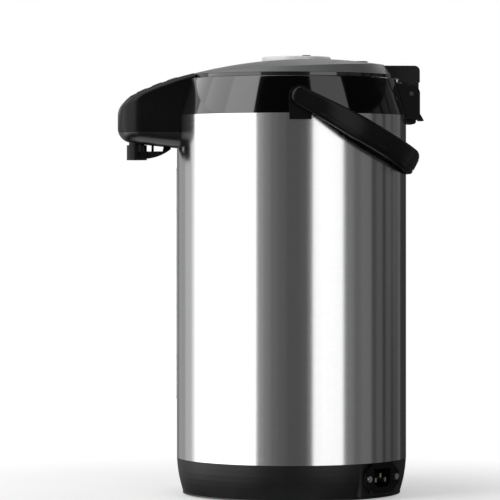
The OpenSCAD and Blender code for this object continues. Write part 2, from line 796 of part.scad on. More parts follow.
module lid_cover() {
    well_r = plate_r + slide_gap;
    cavity_r = lid_r - 8;
    color("#8c8e92") difference() {
        cover_form(0);
        // the hollow under the crown rises in steps, and a wall round the plate's well hangs in it
        difference() {
            union() {
                disc(cavity_r, cover_z - 1, crown_under(dome_x + cavity_r));
                intersection() {
                    disc(cavity_r - 1, cover_z - 1, dome_top_z);
                    translate([dome_x, 0, 0]) disc(step_mid_r, cover_z - 1, crown_under(step_mid_r));
                }
                translate([dome_x, 0, 0]) disc(step_in_r, cover_z - 1, crown_under(step_in_r));
            }
            translate([plate_x, 0, 0]) disc(well_r + 1.8, dome_top_z - 12, dome_top_z);
            for (a = lid_screw_angles) rotate([0, 0, a]) translate([lid_screw_r, 0, 0])
                disc(3.6, cover_z + 0.1, dome_top_z);
        }
        translate([plate_x, 0, 0]) disc(well_r, cover_z - 5, plate_top_z);
        translate([vent_x, 0, 0]) disc(vent_r + seat, cover_z - 5, plate_top_z);
        block([-lid_r - 5, -latch_w / 2 - slide_gap, cover_z - 1],
              [latch_back_x + latch_travel + 0.6, latch_w / 2 + slide_gap, plate_top_z]);
        for (a = lid_screw_angles) rotate([0, 0, a]) translate([lid_screw_r, 0, 0])
            disc(1.2, cover_z - 2, cover_z + 5);
    }
}

cover_t = 2.1;

// Height of the cover's outside and of its underside, at a distance from the crown's middle
function crown_over(d) = dome_top_z - d * d / (2 * dome_r);
function crown_under(d) = crown_over(d) - cover_t;

latch_w = 26;
bolt_w = 16;
latch_back_x = 13.3 - lid_r;
vent_x = lid_r - 31.3;
vent_r = 9;
vent_slot = 1.2;
vent_pitch = 3;

module steam_vent() {
    top = crown_over(vent_x - dome_x);
    color("#1a1a1c") difference() {
        translate([vent_x, 0, 0]) union() {
            disc(vent_r, cover_z + 3, top + 0.6);
            disc(vent_r + 2, cover_z + 3, crown_under(step_mid_r) - seat);
        }
        for (i = [-2:2]) translate([vent_x + i * vent_pitch, 0, 0])
            block([-vent_slot / 2, -vent_r * 0.62, top - 6], [vent_slot / 2, vent_r * 0.62, top + 2]);
    }
}

module lid_base() {
    knuckle_x1 = hinge_x + knuckle_r - 0.2;
    tab_z = hinge_z + knuckle_r + 2.3;
    color("#131315") difference() {
        union() {
            ring(plug_r - 12, lid_r - 0.7, rim_z, cover_z);
            ring(plug_r - 2.4, plug_r, seal_z + seal_h + 0.1, rim_z + 0.5);
            disc(plug_r, seal_z + seal_h + 0.1, cup_floor_z);
            translate([plate_x, 0, 0]) ring(plate_r + 3, plate_r + 5, cup_floor_z - 1, cover_z + 3);
            for (a = lid_screw_angles) rotate([0, 0, a]) translate([lid_screw_r, 0, 0])
                disc(3.6, cup_floor_z - 1, cover_z);
            for (a = [30:30:330]) if (a != 180) rotate([0, 0, a])
                block([plate_r + 12, -0.8, cup_floor_z - 1], [plug_r - 1, 0.8, cup_floor_z + 6]);
            difference() {
                union() {
                    block([plug_r - 6, -hinge_w / 2, rim_z], [hinge_x - 10, hinge_w / 2, tab_top_z]);
                    side_prism(hinge_w) polygon(concat([[hinge_x - 10.5, tab_z]],
                        [[knuckle_x1, tab_z]], arc(knuckle_x1 - 5, tab_top_z - 5, 5, 0, 90, 6),
                        [[hinge_x - 10.5, tab_top_z]]));
                    side_prism(knuckle_w)
                        polygon([[hinge_x - knuckle_r + 0.2, hinge_z], [knuckle_x1, hinge_z],
                        [knuckle_x1, tab_z + 1], [hinge_x - knuckle_r + 0.2, tab_z + 1]]);
                    y_rod(knuckle_r - 0.2, knuckle_w, hinge_x, hinge_z);
                }
                translate([0, 0, cover_z])
                    cylinder(r1 = lid_r + seat, r2 = lid_r + seat - bevel_slope * 20, h = 20);
            }
        }
        translate([plate_x, 0, 0]) disc(4, seal_z, cover_z);
        block([-lid_r, -bolt_w / 2 - 0.6, latch_z - 1], [-plug_r + 5.8, bolt_w / 2 + 0.6, cover_z + 1]);
        y_rod(hinge_pin_d / 2 + run_fit, hinge_w + 5, hinge_x, hinge_z);
        for (a = lid_screw_angles) rotate([0, 0, a]) translate([lid_screw_r, 0, 0]) {
            disc(screw_bore_r, seal_z, cover_z + 1);
            disc(3.1, seal_z, cup_floor_z + 1);
        }
    }
}

module lid_plate() {
    color("#d0d0d0") difference() {
        disc(plug_r - 2.6, seal_z + 1.2, seal_z + 2);
        translate([plate_x, 0, 0]) disc(5, seal_z, seal_z + seal_h);
        for (a = lid_screw_angles) rotate([0, 0, a]) translate([lid_screw_r, 0, 0])
            disc(3.2, seal_z, seal_z + seal_h);
    }
}

module lid_seal() {
    color("#e6e4de") difference() {
        ring(plug_r - 5, plug_r + 1, seal_z, seal_z + seal_h);
        disc(plug_r - 2.5, seal_z + 1.1, seal_z + 2.1);
        disc(plug_r - 3.6, seal_z + 2, seal_z + 5);
    }
}

module lid_screws() {
    color("silver") for (a = lid_screw_angles) rotate([0, 0, a])
        translate([lid_screw_r, 0, cup_floor_z + 1]) rotate([180, 0, 0])
            screw(2.4, 14, screw_head_d, screw_head_h);
}

module lid_latch() {
    pad_top = cover_z + 2.4;
    bolt_x = 1 - throat_r;
    color("#19191b") {
        intersection() {
            difference() {
                cover_form(0.4);
                for (i = [0:3]) translate([3.3 - lid_r + i * 2.2, 0, 0])
                    block([0, -8, pad_top - 0.5 + i * 0.62], [1, 8, plate_top_z]);
            }
            block([-lid_r, -latch_w / 2, cover_z + 0.3], [latch_back_x, latch_w / 2, plate_top_z]);
        }
        block([bolt_x - 1.4, -bolt_w / 2, latch_z], [bolt_x + 0.8, bolt_w / 2, cover_z + 0.6]);
        side_prism(bolt_w) polygon([[bolt_x, latch_z], [-throat_top_r, latch_z],
            [-throat_top_r, latch_z + 0.8],
            [bolt_x, latch_z + 2.4]]);
    }
}

module push_plate() {
    color("#f2f2f2") translate([plate_x, 0, 0]) difference() {
        union() {
            disc(plate_r - 0.8, plate_top_z - plate_thick, plate_top_z);
            disc(plate_r, plate_top_z - plate_thick, plate_top_z - 0.8);
            ring(plate_r - 2, plate_r, plate_top_z - skirt_h, plate_top_z - plate_thick + 0.5);
            ring(spring_r + 1.4, spring_r + 3, plate_top_z - plate_thick - 2.6,
                plate_top_z - plate_thick + 0.5);
        }
        block([lock_x - 2, -9, plate_top_z - 6], [lock_x + 2, 9, plate_top_z + 2]);
        ring(22, 23, plate_top_z - 0.4, plate_top_z + 1);
    }
}

lock_x = 9;
spring_r = 17.4;
spring_wire = 1.8;

module pump_lock() {
    color("#3a3c40") translate([plate_x + lock_x, 0, 0]) {
        difference() {
            block([-3.6, -8, plate_top_z + 0.15], [3.6, 2, plate_top_z + 1.8]);
            for (i = [0:3]) block([-4, -6.6 + i * 2.2, plate_top_z + 1.2],
                [4, -5.8 + i * 2.2, plate_top_z + 2]);
        }
        block([-1.8, -8, plate_top_z - plate_thick - 1.8], [1.8, 2, plate_top_z + 0.5]);
        block([-4.4, -8, plate_top_z - plate_thick - 1.8], [4.4, 2, plate_top_z - plate_thick - 0.2]);
    }
}

bellows_r = 26;
bellows_z = cup_floor_z + 0.2;
bellows_top_z = plate_top_z - plate_thick - 0.3;

module bellows() {
    folds = 4;
    fold_h = (bellows_top_z - bellows_z) / (2 * folds);
    skin = 1;
    side = [for (i = [0:2 * folds]) [bellows_r - (i % 2) * 5, bellows_z + i * fold_h]];
    back = [for (i = [2 * folds:-1:0]) [bellows_r - skin * 1.4 - (i % 2) * 5, bellows_z + i * fold_h]];
    color("#2f2f33") translate([plate_x, 0, 0]) rotate_extrude() polygon(concat(side, back));
}

// Coil spring as one swept tube
module coil(r, wire_r, z0, z1, turns) {
    steps = 14;
    n = turns * steps;
    m = 6;
    pts = [for (i = [0:n]) let (a = 360 * i / steps, z = z0 + wire_r + (z1 - z0 - 2 * wire_r) * i / n)
        for (j = [0:m - 1]) let (b = 360 * j / m)
            [(r + wire_r * cos(b)) * cos(a), (r + wire_r * cos(b)) * sin(a), z + wire_r * sin(b)]];
    sides = [for (i = [0:n - 1], j = [0:m - 1])
        [i * m + j, (i + 1) * m + j, (i + 1) * m + (j + 1) % m, i * m + (j + 1) % m]];
    polyhedron(points = pts,
        faces = concat([[for (j = [0:m - 1]) j]], sides, [[for (j = [m - 1:-1:0]) n * m + j]]));
}

module pump_spring() {
    color("silver") translate([plate_x, 0, 0])
        coil(spring_r, spring_wire / 2, cup_floor_z + 0.2, bellows_top_z, 6);
}

// --- bail handle ---

bail_z = collar_z + bail_rise;
bail_in_r = bail_w / 2 - bail_t;
ear_face_y = bail_in_r - slide_gap;
// Closed outer face of the bail's eyes, over the pins
bail_skin = 2;

module y_pin_bore(s) {
    translate([0, s * (ear_face_y - 10), bail_z]) rotate([90, 0, 0])
        cylinder(d = bail_pin_d + 2 * run_fit, h = 30, center = true);
}

module ear_pads() {
    foot = collar_z - 5.8;
    color("#161618") for (s = [-1, 1]) difference() {
        intersection() {
            translate([0, s * (ear_face_y - 8), 0]) rotate([90, 0, 0])
                linear_extrude(height = 16, center = true)
                hull() {
                    translate([0, bail_z]) circle(d = ear_w, $fn = 64);
                    translate([-ear_w / 2, foot]) square([ear_w, 1]);
                }
            block([-ear_w, -bail_w, low_z], [ear_w, bail_w, high_z]);
        }
        rotate_extrude() polygon([[0, collar_z], [collar_r + seat, collar_z],
            [collar_top_r + seat, collar_top_z], [0, collar_top_z]]);
        disc(shell_r + seat, low_z, collar_z + eps);
        y_pin_bore(s);
    }
}

module bail_pins() {
    pin_start = throat_r + throat_wall + 1.6;
    color("silver") for (s = [-1, 1]) translate([0, 0, bail_z]) rotate([s * -90, 0, 0]) {
        disc(bail_pin_d / 2 + 2, pin_start, pin_start + 2);
        disc(bail_pin_d / 2, pin_start, bail_w / 2 - bail_skin - 0.4);
    }
}

// Plan of the bail's outside or inside: straight arms, elliptic bow
module bail_plan(reach, half) {
    straight = 20;
    polygon(concat([[-30, -half]], [for (i = [0:48]) let (a = -90 + 180 * i / 48)
        [straight + (reach - straight) * cos(a), half * sin(a)]], [[-30, half]]));
}

// Side view of the bail: eyes at the pivots, widening into the band
module bail_side(grow) {
    corner = 6;
    hull() {
        circle(d = bail_eye + 2 * grow, $fn = 64);
        for (s = [-1, 1]) {
            translate([60, s * (bail_band / 2 + grow - 1)]) circle(r = 1, $fn = 24);
            translate([bail_reach + grow - corner, s * (bail_band / 2 + grow - corner)])
                circle(r = corner, $fn = 48);
        }
    }
}

module bail_handle() {
    groove = 0.8;
    color("#0f0f11") difference() {
        translate([0, 0, bail_z]) rotate([0, bail_rest, 0]) difference() {
            intersection() {
                translate([0, 0, -20]) linear_extrude(height = 40) difference() {
                    bail_plan(bail_reach, bail_w / 2);
                    bail_plan(bail_reach - bail_apex_t, bail_in_r);
                }
                side_prism(bail_w + 20) bail_side(0);
            }
            translate([0, 0, -bail_band / 2 + 4]) linear_extrude(height = 2.4) difference() {
                bail_plan(bail_reach + 20, bail_w / 2 + 20);
                bail_plan(bail_reach - groove, bail_w / 2 - groove);
                translate([-60, -bail_w]) square([82, 2 * bail_w]);
            }
            rotate([90, 0, 0]) cylinder(d = bail_pin_d + 2 * run_fit, h = bail_w - 2 * bail_skin,
                center = true);
        }
        disc(shell_r + 1, shell_z, collar_z);
    }
}

// --- lid hinge ---

bracket_z = collar_z - 3.5;
bracket_screw_places = [[-17, collar_z + 6.5], [17, collar_z + 6.5]];

module hinge_bracket() {
    ear_x1 = hinge_x + knuckle_r;
    color("#0f0f11") difference() {
        union() {
            block([hinge_x - 20, -hinge_w / 2 - 4, bracket_z],
                [hinge_x - 4.4, hinge_w / 2 + 4, hinge_z + 9.3]);
            block([hinge_x - 10, -hinge_w / 2, bracket_z], [ear_x1, hinge_w / 2, hinge_z]);
            y_rod(knuckle_r, hinge_w, hinge_x, hinge_z);
            side_prism(26) polygon(concat([[hinge_x - 3, bracket_z + 1]],
                arc(hinge_x - 0.4, bracket_z - 1.8, 2.4, 180, 270, 5),
                arc(hinge_x + 2.6, bracket_z - 1.8, 2.4, 270, 360, 5), [[hinge_x + 5, bracket_z + 1]]));
        }
        block([hinge_x - 10, -knuckle_w / 2 - slide_gap, collar_z + 1],
            [hinge_x + 20, knuckle_w / 2 + slide_gap, high_z]);
        rotate_extrude() polygon([[0, collar_z], [collar_r + seat, collar_z],
            [collar_top_r + seat, collar_top_z], [0, collar_top_z]]);
        disc(shell_r + seat, low_z, collar_z + eps);
        y_rod(hinge_pin_d / 2 + run_fit, hinge_w + 10, hinge_x, hinge_z);
        y_rod(release_pin_r + run_fit, hinge_w - 6, release_x, release_z);
        for (p = bracket_screw_places) translate([hinge_x - 20, p[0], p[1]]) rotate([0, 90, 0])
            cylinder(r = screw_bore_r, h = 21);
    }
}

module hinge_pin() {
    color("silver") y_rod(hinge_pin_d / 2, hinge_w - 0.4, hinge_x, hinge_z);
}

release_x = hinge_x + 4;
release_z = collar_z + 6.5;
release_pin_r = 1.5;
release_w = 20;

module lid_release() {
    back = hinge_x + knuckle_r;
    color("#0c0c0e") difference() {
        union() {
            side_prism(release_w) polygon([[release_x - 2, release_z + 3.6], [back - 0.4, release_z + 3.6],
                [back + 0.8, collar_z + 2.8], [back + 4.8, collar_z - 4.5], [back + 0.6, collar_z - 4.5],
                [back + 0.6, collar_z + 1], [back - 1.6, collar_z + 2.4], [release_x - 2, collar_z + 2.4]]);
            y_rod(3, release_w, release_x, release_z);
        }
        y_rod(release_pin_r + run_fit, 60, release_x, release_z);
    }
}

module release_pin() {
    color("silver") y_rod(release_pin_r, hinge_w - 6.4, release_x, release_z);
}

module bracket_screws() {
    color("silver") for (p = bracket_screw_places) translate([hinge_x - 11, p[0], p[1]]) rotate([0, -90, 0])
        screw(screw_d, 11, screw_head_d, screw_head_h);
}

// --- water vessel and works ---

pot_corner = 14;
seal_t = 1.4;
stub_x = 24.8 - pot_r;
stub_r = 5.5;
hose_wall = 2;

module inner_pot() {
    color("#d6d6d6") difference() {
        union() {
            rotate_extrude() polygon(concat([[0, pot_z]],
                arc(pot_r - pot_corner, pot_z + pot_corner, pot_corner, -90, 0, 8),
                [[pot_r, flange_z], [throat_r - 0.4, flange_z], [throat_r - 0.4, pot_top_z],
                    [pot_r - pot_wall, pot_top_z]],
                arc(pot_r - pot_corner, pot_z + pot_corner, pot_corner - pot_wall, 0, -90, 8),
                    [[0, pot_z + pot_wall]]));
            translate([stub_x, 0, 0]) disc(stub_r, pot_z - 12, pot_z + 0.4);
        }
        translate([stub_x, 0, 0]) disc(stub_r - pot_wall, pot_z - 20, pot_z + 5);
    }
}

module pot_seal() {
    color("#e6e4de") difference() {
        ring(pot_r + 0.5, throat_r - 0.4, shelf_z, shelf_z + seal_t);
        ring(pot_r + 1.6, throat_r - 1.4, shelf_z + seal_t / 2, shelf_z + seal_t + 1);
    }
}

band_rise = 30;
band_h = 42;
band_t = 2.1;
band_gap = 8;

module band_heater() {
    color("#b9a06a") difference() {
        ring(pot_r + 0.1, pot_r + 0.1 + band_t, pot_z + band_rise, pot_z + band_rise + band_h);
        block([pot_r - 6, -band_gap / 2, pot_z],
            [pot_r + 6, band_gap / 2, pot_z + band_rise + band_h + 10]);
    }
}

element_r = 52;
element_wire_r = 3.4;
element_hole_r = 34;

module base_heater() {
    color("#a8a8ac") difference() {
        union() {
            ring(element_hole_r, pot_r - pot_corner - 4, pot_z - 3.2, pot_z - 0.1);
            rotate_extrude() translate([element_r, pot_z - 5.4]) circle(r = element_wire_r, $fn = 32);
        }
        translate([stub_x, 0, 0]) disc(stub_r + 4, pot_z - 20, pot_z + 5);
    }
}

thermostat_r = 8.5;
thermostat_ring_r = 22;

module thermostats() {
    color("#c8b48c") for (a = [40, 100, 250]) rotate([0, 0, a]) translate([thermostat_ring_r, 0, 0]) {
        disc(thermostat_r, pot_z - 5, pot_z - 0.1);
        disc(thermostat_r - 2.5, pot_z - 13, pot_z - 5);
        for (s = [-1, 1]) block([-3, s * 7.6 - 0.4, pot_z - 17], [3, s * 7.6 + 0.4, pot_z - 4.5]);
    }
}

gauge_foot_z = pot_z - 6;
gauge_r = gauge_d / 2;

module gauge_tube() {
    color("#bcd0d8") translate([gauge_x, 0, 0]) difference() {
        disc(gauge_r, gauge_foot_z, gauge_top_z);
        disc(gauge_r - 1.3, gauge_foot_z - 1, gauge_top_z + 1);
    }
}

pump_r = 19;
// Pump and motor stand under the pot's foot
pump_z0 = pot_z - 42;
pump_z1 = pump_z0 + 18;
pump_port_z = pump_z0 + 5;

module outlet_hose() {
    color("#e8e6e0") translate([stub_x, 0, 0]) difference() {
        disc(stub_r + hose_wall, pump_z1 + 0.3, pot_z - 4);
        disc(stub_r + run_fit, pump_z1 - 1, pot_z);
    }
}

hose_bend = 10;

module pump_hose() {
    color("#e8e6e0") difference() {
        hose_run(gauge_r + hose_wall, 0);
        hose_run(gauge_r + run_fit, 1);
    }
}

// Hose from the pump's side port, forward and up to the gauge tube, its ends lengthened by over
module hose_run(r, over) {
    port_x = stub_x - pump_r - 3.2;
    translate([gauge_x + hose_bend, 0, pump_port_z]) rotate([0, 90, 0])
        cylinder(r = r, h = port_x - gauge_x - hose_bend + over);
    translate([gauge_x + hose_bend, 0, pump_port_z + hose_bend]) rotate([90, 0, 0])
        rotate_extrude(angle = 90, start = 180) translate([hose_bend, 0]) circle(r = r, $fn = 48);
    translate([gauge_x, 0, pump_port_z + hose_bend])
        cylinder(r = r, h = gauge_foot_z + 10 - pump_port_z - hose_bend + over);
}

module pump_housing() {
    color("#ded8c6") difference() {
        union() {
            translate([stub_x, 0, 0]) {
                disc(pump_r, pump_z0, pump_z1);
                disc(stub_r, pump_z1 - 1, pump_z1 + 10);
                disc(pump_r + 3, pump_z0, pump_z0 + 2.5);
            }
            translate([stub_x, 0, pump_port_z]) rotate([0, -90, 0]) cylinder(r = gauge_r, h = pump_r + 7);
        }
        translate([stub_x, 0, 0]) {
            disc(pump_r - 2.5, pump_z0 + 2, pump_z1 - 2.5);
            disc(stub_r - 1.5, pump_z1 - 5, pump_z1 + 12);
        }
        translate([stub_x, 0, pump_port_z]) rotate([0, -90, 0]) cylinder(r = gauge_r - 1.5, h = pump_r + 9);
    }
    color("#ded8c6") translate([stub_x, 0, 0]) disc(1.5, pump_z0 + 1.9, pump_z0 + 4);
}

module impeller() {
    color("#6a6f78") translate([stub_x, 0, 0]) difference() {
        union() {
            disc(13, pump_z0 + 5, pump_z0 + 7);
            disc(4, pump_z0 + 2.6, pump_z0 + 12);
            for (a = [0:60:300]) rotate([0, 0, a]) block([3, -0.7, pump_z0 + 6.5], [13, 0.7, pump_z0 + 12]);
        }
        disc(1.5 + run_fit, pump_z0, pump_z0 + 4.4);
    }
}

motor_r = 14;
motor_top_z = pump_z0 - 7;

module drive_magnet() {
    color("#4a4a50") translate([stub_x, 0, 0]) difference() {
        disc(12, pump_z0 - 5, pump_z0 - 1);
        disc(1.2 + run_fit, pump_z0 - 6, pump_z0 - 2);
    }
}

module pump_motor() {
    color("#9a9ca2") translate([stub_x, 0, 0]) {
        disc(motor_r, plate_z + plate_t + 3, motor_top_z);
        disc(1.2, motor_top_z - 1, pump_z0 - 2.4);
        difference() {
            ring(pump_r - 3, pump_r - 1, motor_top_z - 1, pump_z0 - 0.1);
            block([-3, -30, motor_top_z + 1], [3, 30, pump_z0]);
            block([-30, -5, pump_z0 - 1], [0, 5, pump_z0]);
        }
        disc(pump_r - 1, motor_top_z - 3, motor_top_z - 1);
        for (a = [45, 165, 285]) rotate([0, 0, a]) translate([motor_r + 2, 0, 0])
            disc(2, plate_z + plate_t + 0.1, motor_top_z - 2);
    }
}

// Board of the heaters and the pump: its corner, length and width on the base plate
power_x = -12;
power_y = 24;
power_l = 56;
power_w = 40;
power_post = 5.5;

module power_board() {
    z = plate_z + plate_t + 9;
    translate([power_x, power_y, 0]) {
        color("#2a6a3a") {
            block([0, 0, z], [power_l, power_w, z + 1.6]);
            for (x = [power_post, power_l - power_post], y = [power_post, power_w - power_post])
                translate([x, y, 0]) disc(3, plate_z + plate_t + 0.1, z + 0.5);
        }
        color("#c9b037") block([4, 10, z + 1.5], [26, 28, z + 18]);
        color("#3a3a6a") for (i = [0:2]) translate([power_l - 18, 10 + 10 * i, 0]) disc(4, z + 1.5, z + 14);
    }
}

foot_pads();
turntable();
swivel_washer();
base_shell();
base_plate();
base_screws();
steel_shell();
gauge_window();
collar();
beak_cover();
control_panel();
panel_lenses();
control_board();
dispense_button();
unlock_button();
reboil_button();
nozzle();
outlet_elbow();
cup_lever();
lever_pin();
lever_switch();
inner_pot();
pot_seal();
band_heater();
base_heater();
thermostats();
gauge_tube();
outlet_hose();
pump_hose();
pump_housing();
impeller();
drive_magnet();
pump_motor();
power_board();
inlet_socket();
inlet_pins();
inlet_screws();
ear_pads();
bail_pins();
bail_handle();
hinge_bracket();
hinge_pin();
lid_release();
release_pin();
bracket_screws();
lid_cover();
lid_base();
lid_plate();
lid_seal();
lid_screws();
lid_latch();
steam_vent();
push_plate();
pump_lock();
pump_spring();
bellows();
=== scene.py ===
"""Looks of the electric thermo pot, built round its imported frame.

+Z is up, -X is toward the spout and +X toward the hinge. Sizes of the pot are in mm, and mm() turns points
into Blender's metres. Materials, studio and camera are in metres.
"""

import math

import bmesh
import bpy
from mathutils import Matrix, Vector


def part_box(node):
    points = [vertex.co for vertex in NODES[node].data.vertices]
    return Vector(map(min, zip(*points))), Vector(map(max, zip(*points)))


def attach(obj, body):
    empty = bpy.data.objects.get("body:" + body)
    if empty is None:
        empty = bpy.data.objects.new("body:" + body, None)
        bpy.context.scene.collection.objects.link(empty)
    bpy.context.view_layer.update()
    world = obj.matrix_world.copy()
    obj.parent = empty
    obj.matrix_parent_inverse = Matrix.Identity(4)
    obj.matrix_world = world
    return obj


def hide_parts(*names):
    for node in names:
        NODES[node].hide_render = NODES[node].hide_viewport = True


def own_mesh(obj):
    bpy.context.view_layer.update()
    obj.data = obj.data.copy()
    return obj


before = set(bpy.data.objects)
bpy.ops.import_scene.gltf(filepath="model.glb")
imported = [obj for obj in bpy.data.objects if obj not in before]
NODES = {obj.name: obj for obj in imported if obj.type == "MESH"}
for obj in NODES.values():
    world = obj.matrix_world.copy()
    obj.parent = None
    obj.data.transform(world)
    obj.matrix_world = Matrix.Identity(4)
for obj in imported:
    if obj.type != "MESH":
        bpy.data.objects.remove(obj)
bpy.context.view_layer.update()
MM = 0.001

# ---------------------------------------------------------------- node helpers

# Most of a noise's values lie in this span.
NOISE_SPAN = (0.3, 0.7)


def new_material(name):
    """An empty material with a Principled shader: the material, its node tree and the shader."""
    material = bpy.data.materials.new(name)
    material.use_nodes = True
    tree = material.node_tree
    tree.nodes.clear()
    out = tree.nodes.new("ShaderNodeOutputMaterial")
    shader = tree.nodes.new("ShaderNodeBsdfPrincipled")
    tree.links.new(shader.outputs[0], out.inputs[0])
    return material, tree, shader


def math_node(tree, op, a, b):
    """Sum on two values, each a number or an output of a node."""
    node = tree.nodes.new("ShaderNodeMath")
    node.operation = op
    for i, v in enumerate((a, b)):
        if isinstance(v, (int, float)):
            node.inputs[i].default_value = v
        else:
            tree.links.new(v, node.inputs[i])
    return node.outputs[0]


def place(tree):
    """A point's place on its own object, in metres."""
    return tree.nodes.new("ShaderNodeTexCoord").outputs["Object"]


def stretched(tree, scale):
    """A point's place, scaled along X, Y and Z."""
    mapping = tree.nodes.new("ShaderNodeMapping")
    mapping.inputs["Scale"].default_value = scale
    tree.links.new(place(tree), mapping.inputs["Vector"])
    return mapping.outputs[0]


def noise(tree, vec, scale, detail=3, rough=0.5):
    node = tree.nodes.new("ShaderNodeTexNoise")
    node.inputs["Scale"].default_value = scale
    node.inputs["Detail"].default_value = detail
    node.inputs["Roughness"].default_value = rough
    tree.links.new(vec, node.inputs["Vector"])
    return node.outputs["Fac"]


def remap(tree, fac, lo, hi, span=NOISE_SPAN):
    """Runs from lo to hi while fac runs over a span."""
    node = tree.nodes.new("ShaderNodeMapRange")
    for i, v in enumerate((*span, lo, hi)):
        node.inputs[i + 1].default_value = v
    tree.links.new(fac, node.inputs[0])
    return node.outputs[0]


def two_tone(tree, fac, dark, light):
    """Runs from one colour to the other over a noise's values."""
    ramp = tree.nodes.new("ShaderNodeValToRGB")
    for stop, at, colour in zip(ramp.color_ramp.elements, NOISE_SPAN, (dark, light)):
        stop.position = at
        stop.color = (*colour, 1)
    tree.links.new(fac, ramp.inputs[0])
    return ramp.outputs[0]


def bump(tree, shader, height, strength, distance, edge=0.0):
    """Fine relief, with the edges softened over a radius in metres."""
    node = tree.nodes.new("ShaderNodeBump")
    node.inputs["Strength"].default_value = strength
    node.inputs["Distance"].default_value = distance
    tree.links.new(height, node.inputs["Height"])
    if edge:
        bevel = tree.nodes.new("ShaderNodeBevel")
        bevel.samples = 4
        bevel.inputs["Radius"].default_value = edge
        tree.links.new(bevel.outputs[0], node.inputs["Normal"])
    tree.links.new(node.outputs[0], shader.inputs["Normal"])


def shade(colour, k):
    """A share k of a colour."""
    return tuple(min(1, max(0, v * k)) for v in colour)


def mottled(tree, shader, fac, colour, dark, light):
    """Base colour that varies between a darker and a lighter share of one colour."""
    tone = two_tone(tree, fac, shade(colour, dark), shade(colour, light))
    tree.links.new(tone, shader.inputs["Base Color"])


# ---------------------------------------------------------------- materials


def plastic(name, colour, rough, vary, grain, depth, coat=0.0, spec=0.5, spread=0.03):
    """Moulded plastic: faint flow mottling, a fine skin texture and softened edges."""
    material, tree, shader = new_material(name)
    here = stretched(tree, (1, 1, 1))
    flow = noise(tree, here, 38, 4, 0.55)
    skin = noise(tree, here, grain, 2, 0.6)
    mottled(tree, shader, flow, colour, 1 - vary, 1 + vary)
    tree.links.new(remap(tree, flow, rough - spread, rough + spread), shader.inputs["Roughness"])
    shader.inputs["Specular IOR Level"].default_value = spec
    shader.inputs["Coat Weight"].default_value = coat
    shader.inputs["Coat Roughness"].default_value = 0.04
    bump(tree, shader, skin, depth, distance=0.0001, edge=0.0004)
    return material


def metal(name, colour, rough, streak=(300, 300, 60), depth=0.08, vary=0.05):
    """Drawn, rolled or turned metal with a directional grain."""
    material, tree, shader = new_material(name)
    grain = noise(tree, stretched(tree, streak), 6, 3, 0.6)
    mottled(tree, shader, grain, colour, 1 - vary, 1 + vary)
    tree.links.new(remap(tree, grain, rough * 0.85, rough * 1.2), shader.inputs["Roughness"])
    shader.inputs["Metallic"].default_value = 1.0
    bump(tree, shader, grain, depth, distance=0.00005, edge=0.0002)
    return material


def brushed_sleeve(name, colour, rough=0.17, aniso=0.6):
    """Steel brushed round the pot: grain lines run with the angle, and broad bands vary the finish."""
    material, tree, shader = new_material(name)
    here = place(tree)
    xyz = tree.nodes.new("ShaderNodeSeparateXYZ")
    tree.links.new(here, xyz.inputs[0])
    angle = math_node(tree, "ARCTAN2", xyz.outputs[1], xyz.outputs[0])

    def unrolled(per_turn, per_metre):
        sheet = tree.nodes.new("ShaderNodeCombineXYZ")
        tree.links.new(math_node(tree, "MULTIPLY", angle, per_turn), sheet.inputs[0])
        tree.links.new(math_node(tree, "MULTIPLY", xyz.outputs[2], per_metre), sheet.inputs[1])
        return sheet.outputs[0]

    lines = noise(tree, unrolled(2.2, 1500), 1.0, 4, 0.65)
    bands = noise(tree, unrolled(26, 1.3), 1.0, 3, 0.6)
    specks = noise(tree, here, 900, 2, 0.7)
    half_lines, half_specks = (math_node(tree, "MULTIPLY", fac, 0.5) for fac in (lines, specks))
    brush = math_node(tree, "ADD", half_lines, half_specks)
    mottled(tree, shader, brush, colour, 0.93, 1.04)
    tree.links.new(remap(tree, bands, rough * 0.88, rough * 1.15), shader.inputs["Roughness"])
    shader.inputs["Metallic"].default_value = 1.0
    shader.inputs["Anisotropic"].default_value = aniso
    shader.inputs["Anisotropic Rotation"].default_value = 0.25
    round_z = tree.nodes.new("ShaderNodeTangent")
    round_z.direction_type = "RADIAL"
    round_z.axis = "Z"
    tree.links.new(round_z.outputs[0], shader.inputs["Tangent"])
    bump(tree, shader, brush, 0.035, distance=0.00004)
    return material


def clear(name, tint, rough=0.05, alpha=0.35):
    """Clear moulding with a little haze."""
    material, tree, shader = new_material(name)
    haze = noise(tree, stretched(tree, (1, 1, 1)), 60, 3)
    mottled(tree, shader, haze, tint, 0.95, 1)
    tree.links.new(remap(tree, haze, rough, rough + 0.06), shader.inputs["Roughness"])
    shader.inputs["Alpha"].default_value = alpha
    shader.inputs["IOR"].default_value = 1.49
    shader.inputs["Specular IOR Level"].default_value = 0.6
    bump(tree, shader, haze, 0.03, distance=0.0002, edge=0.0003)
    return material


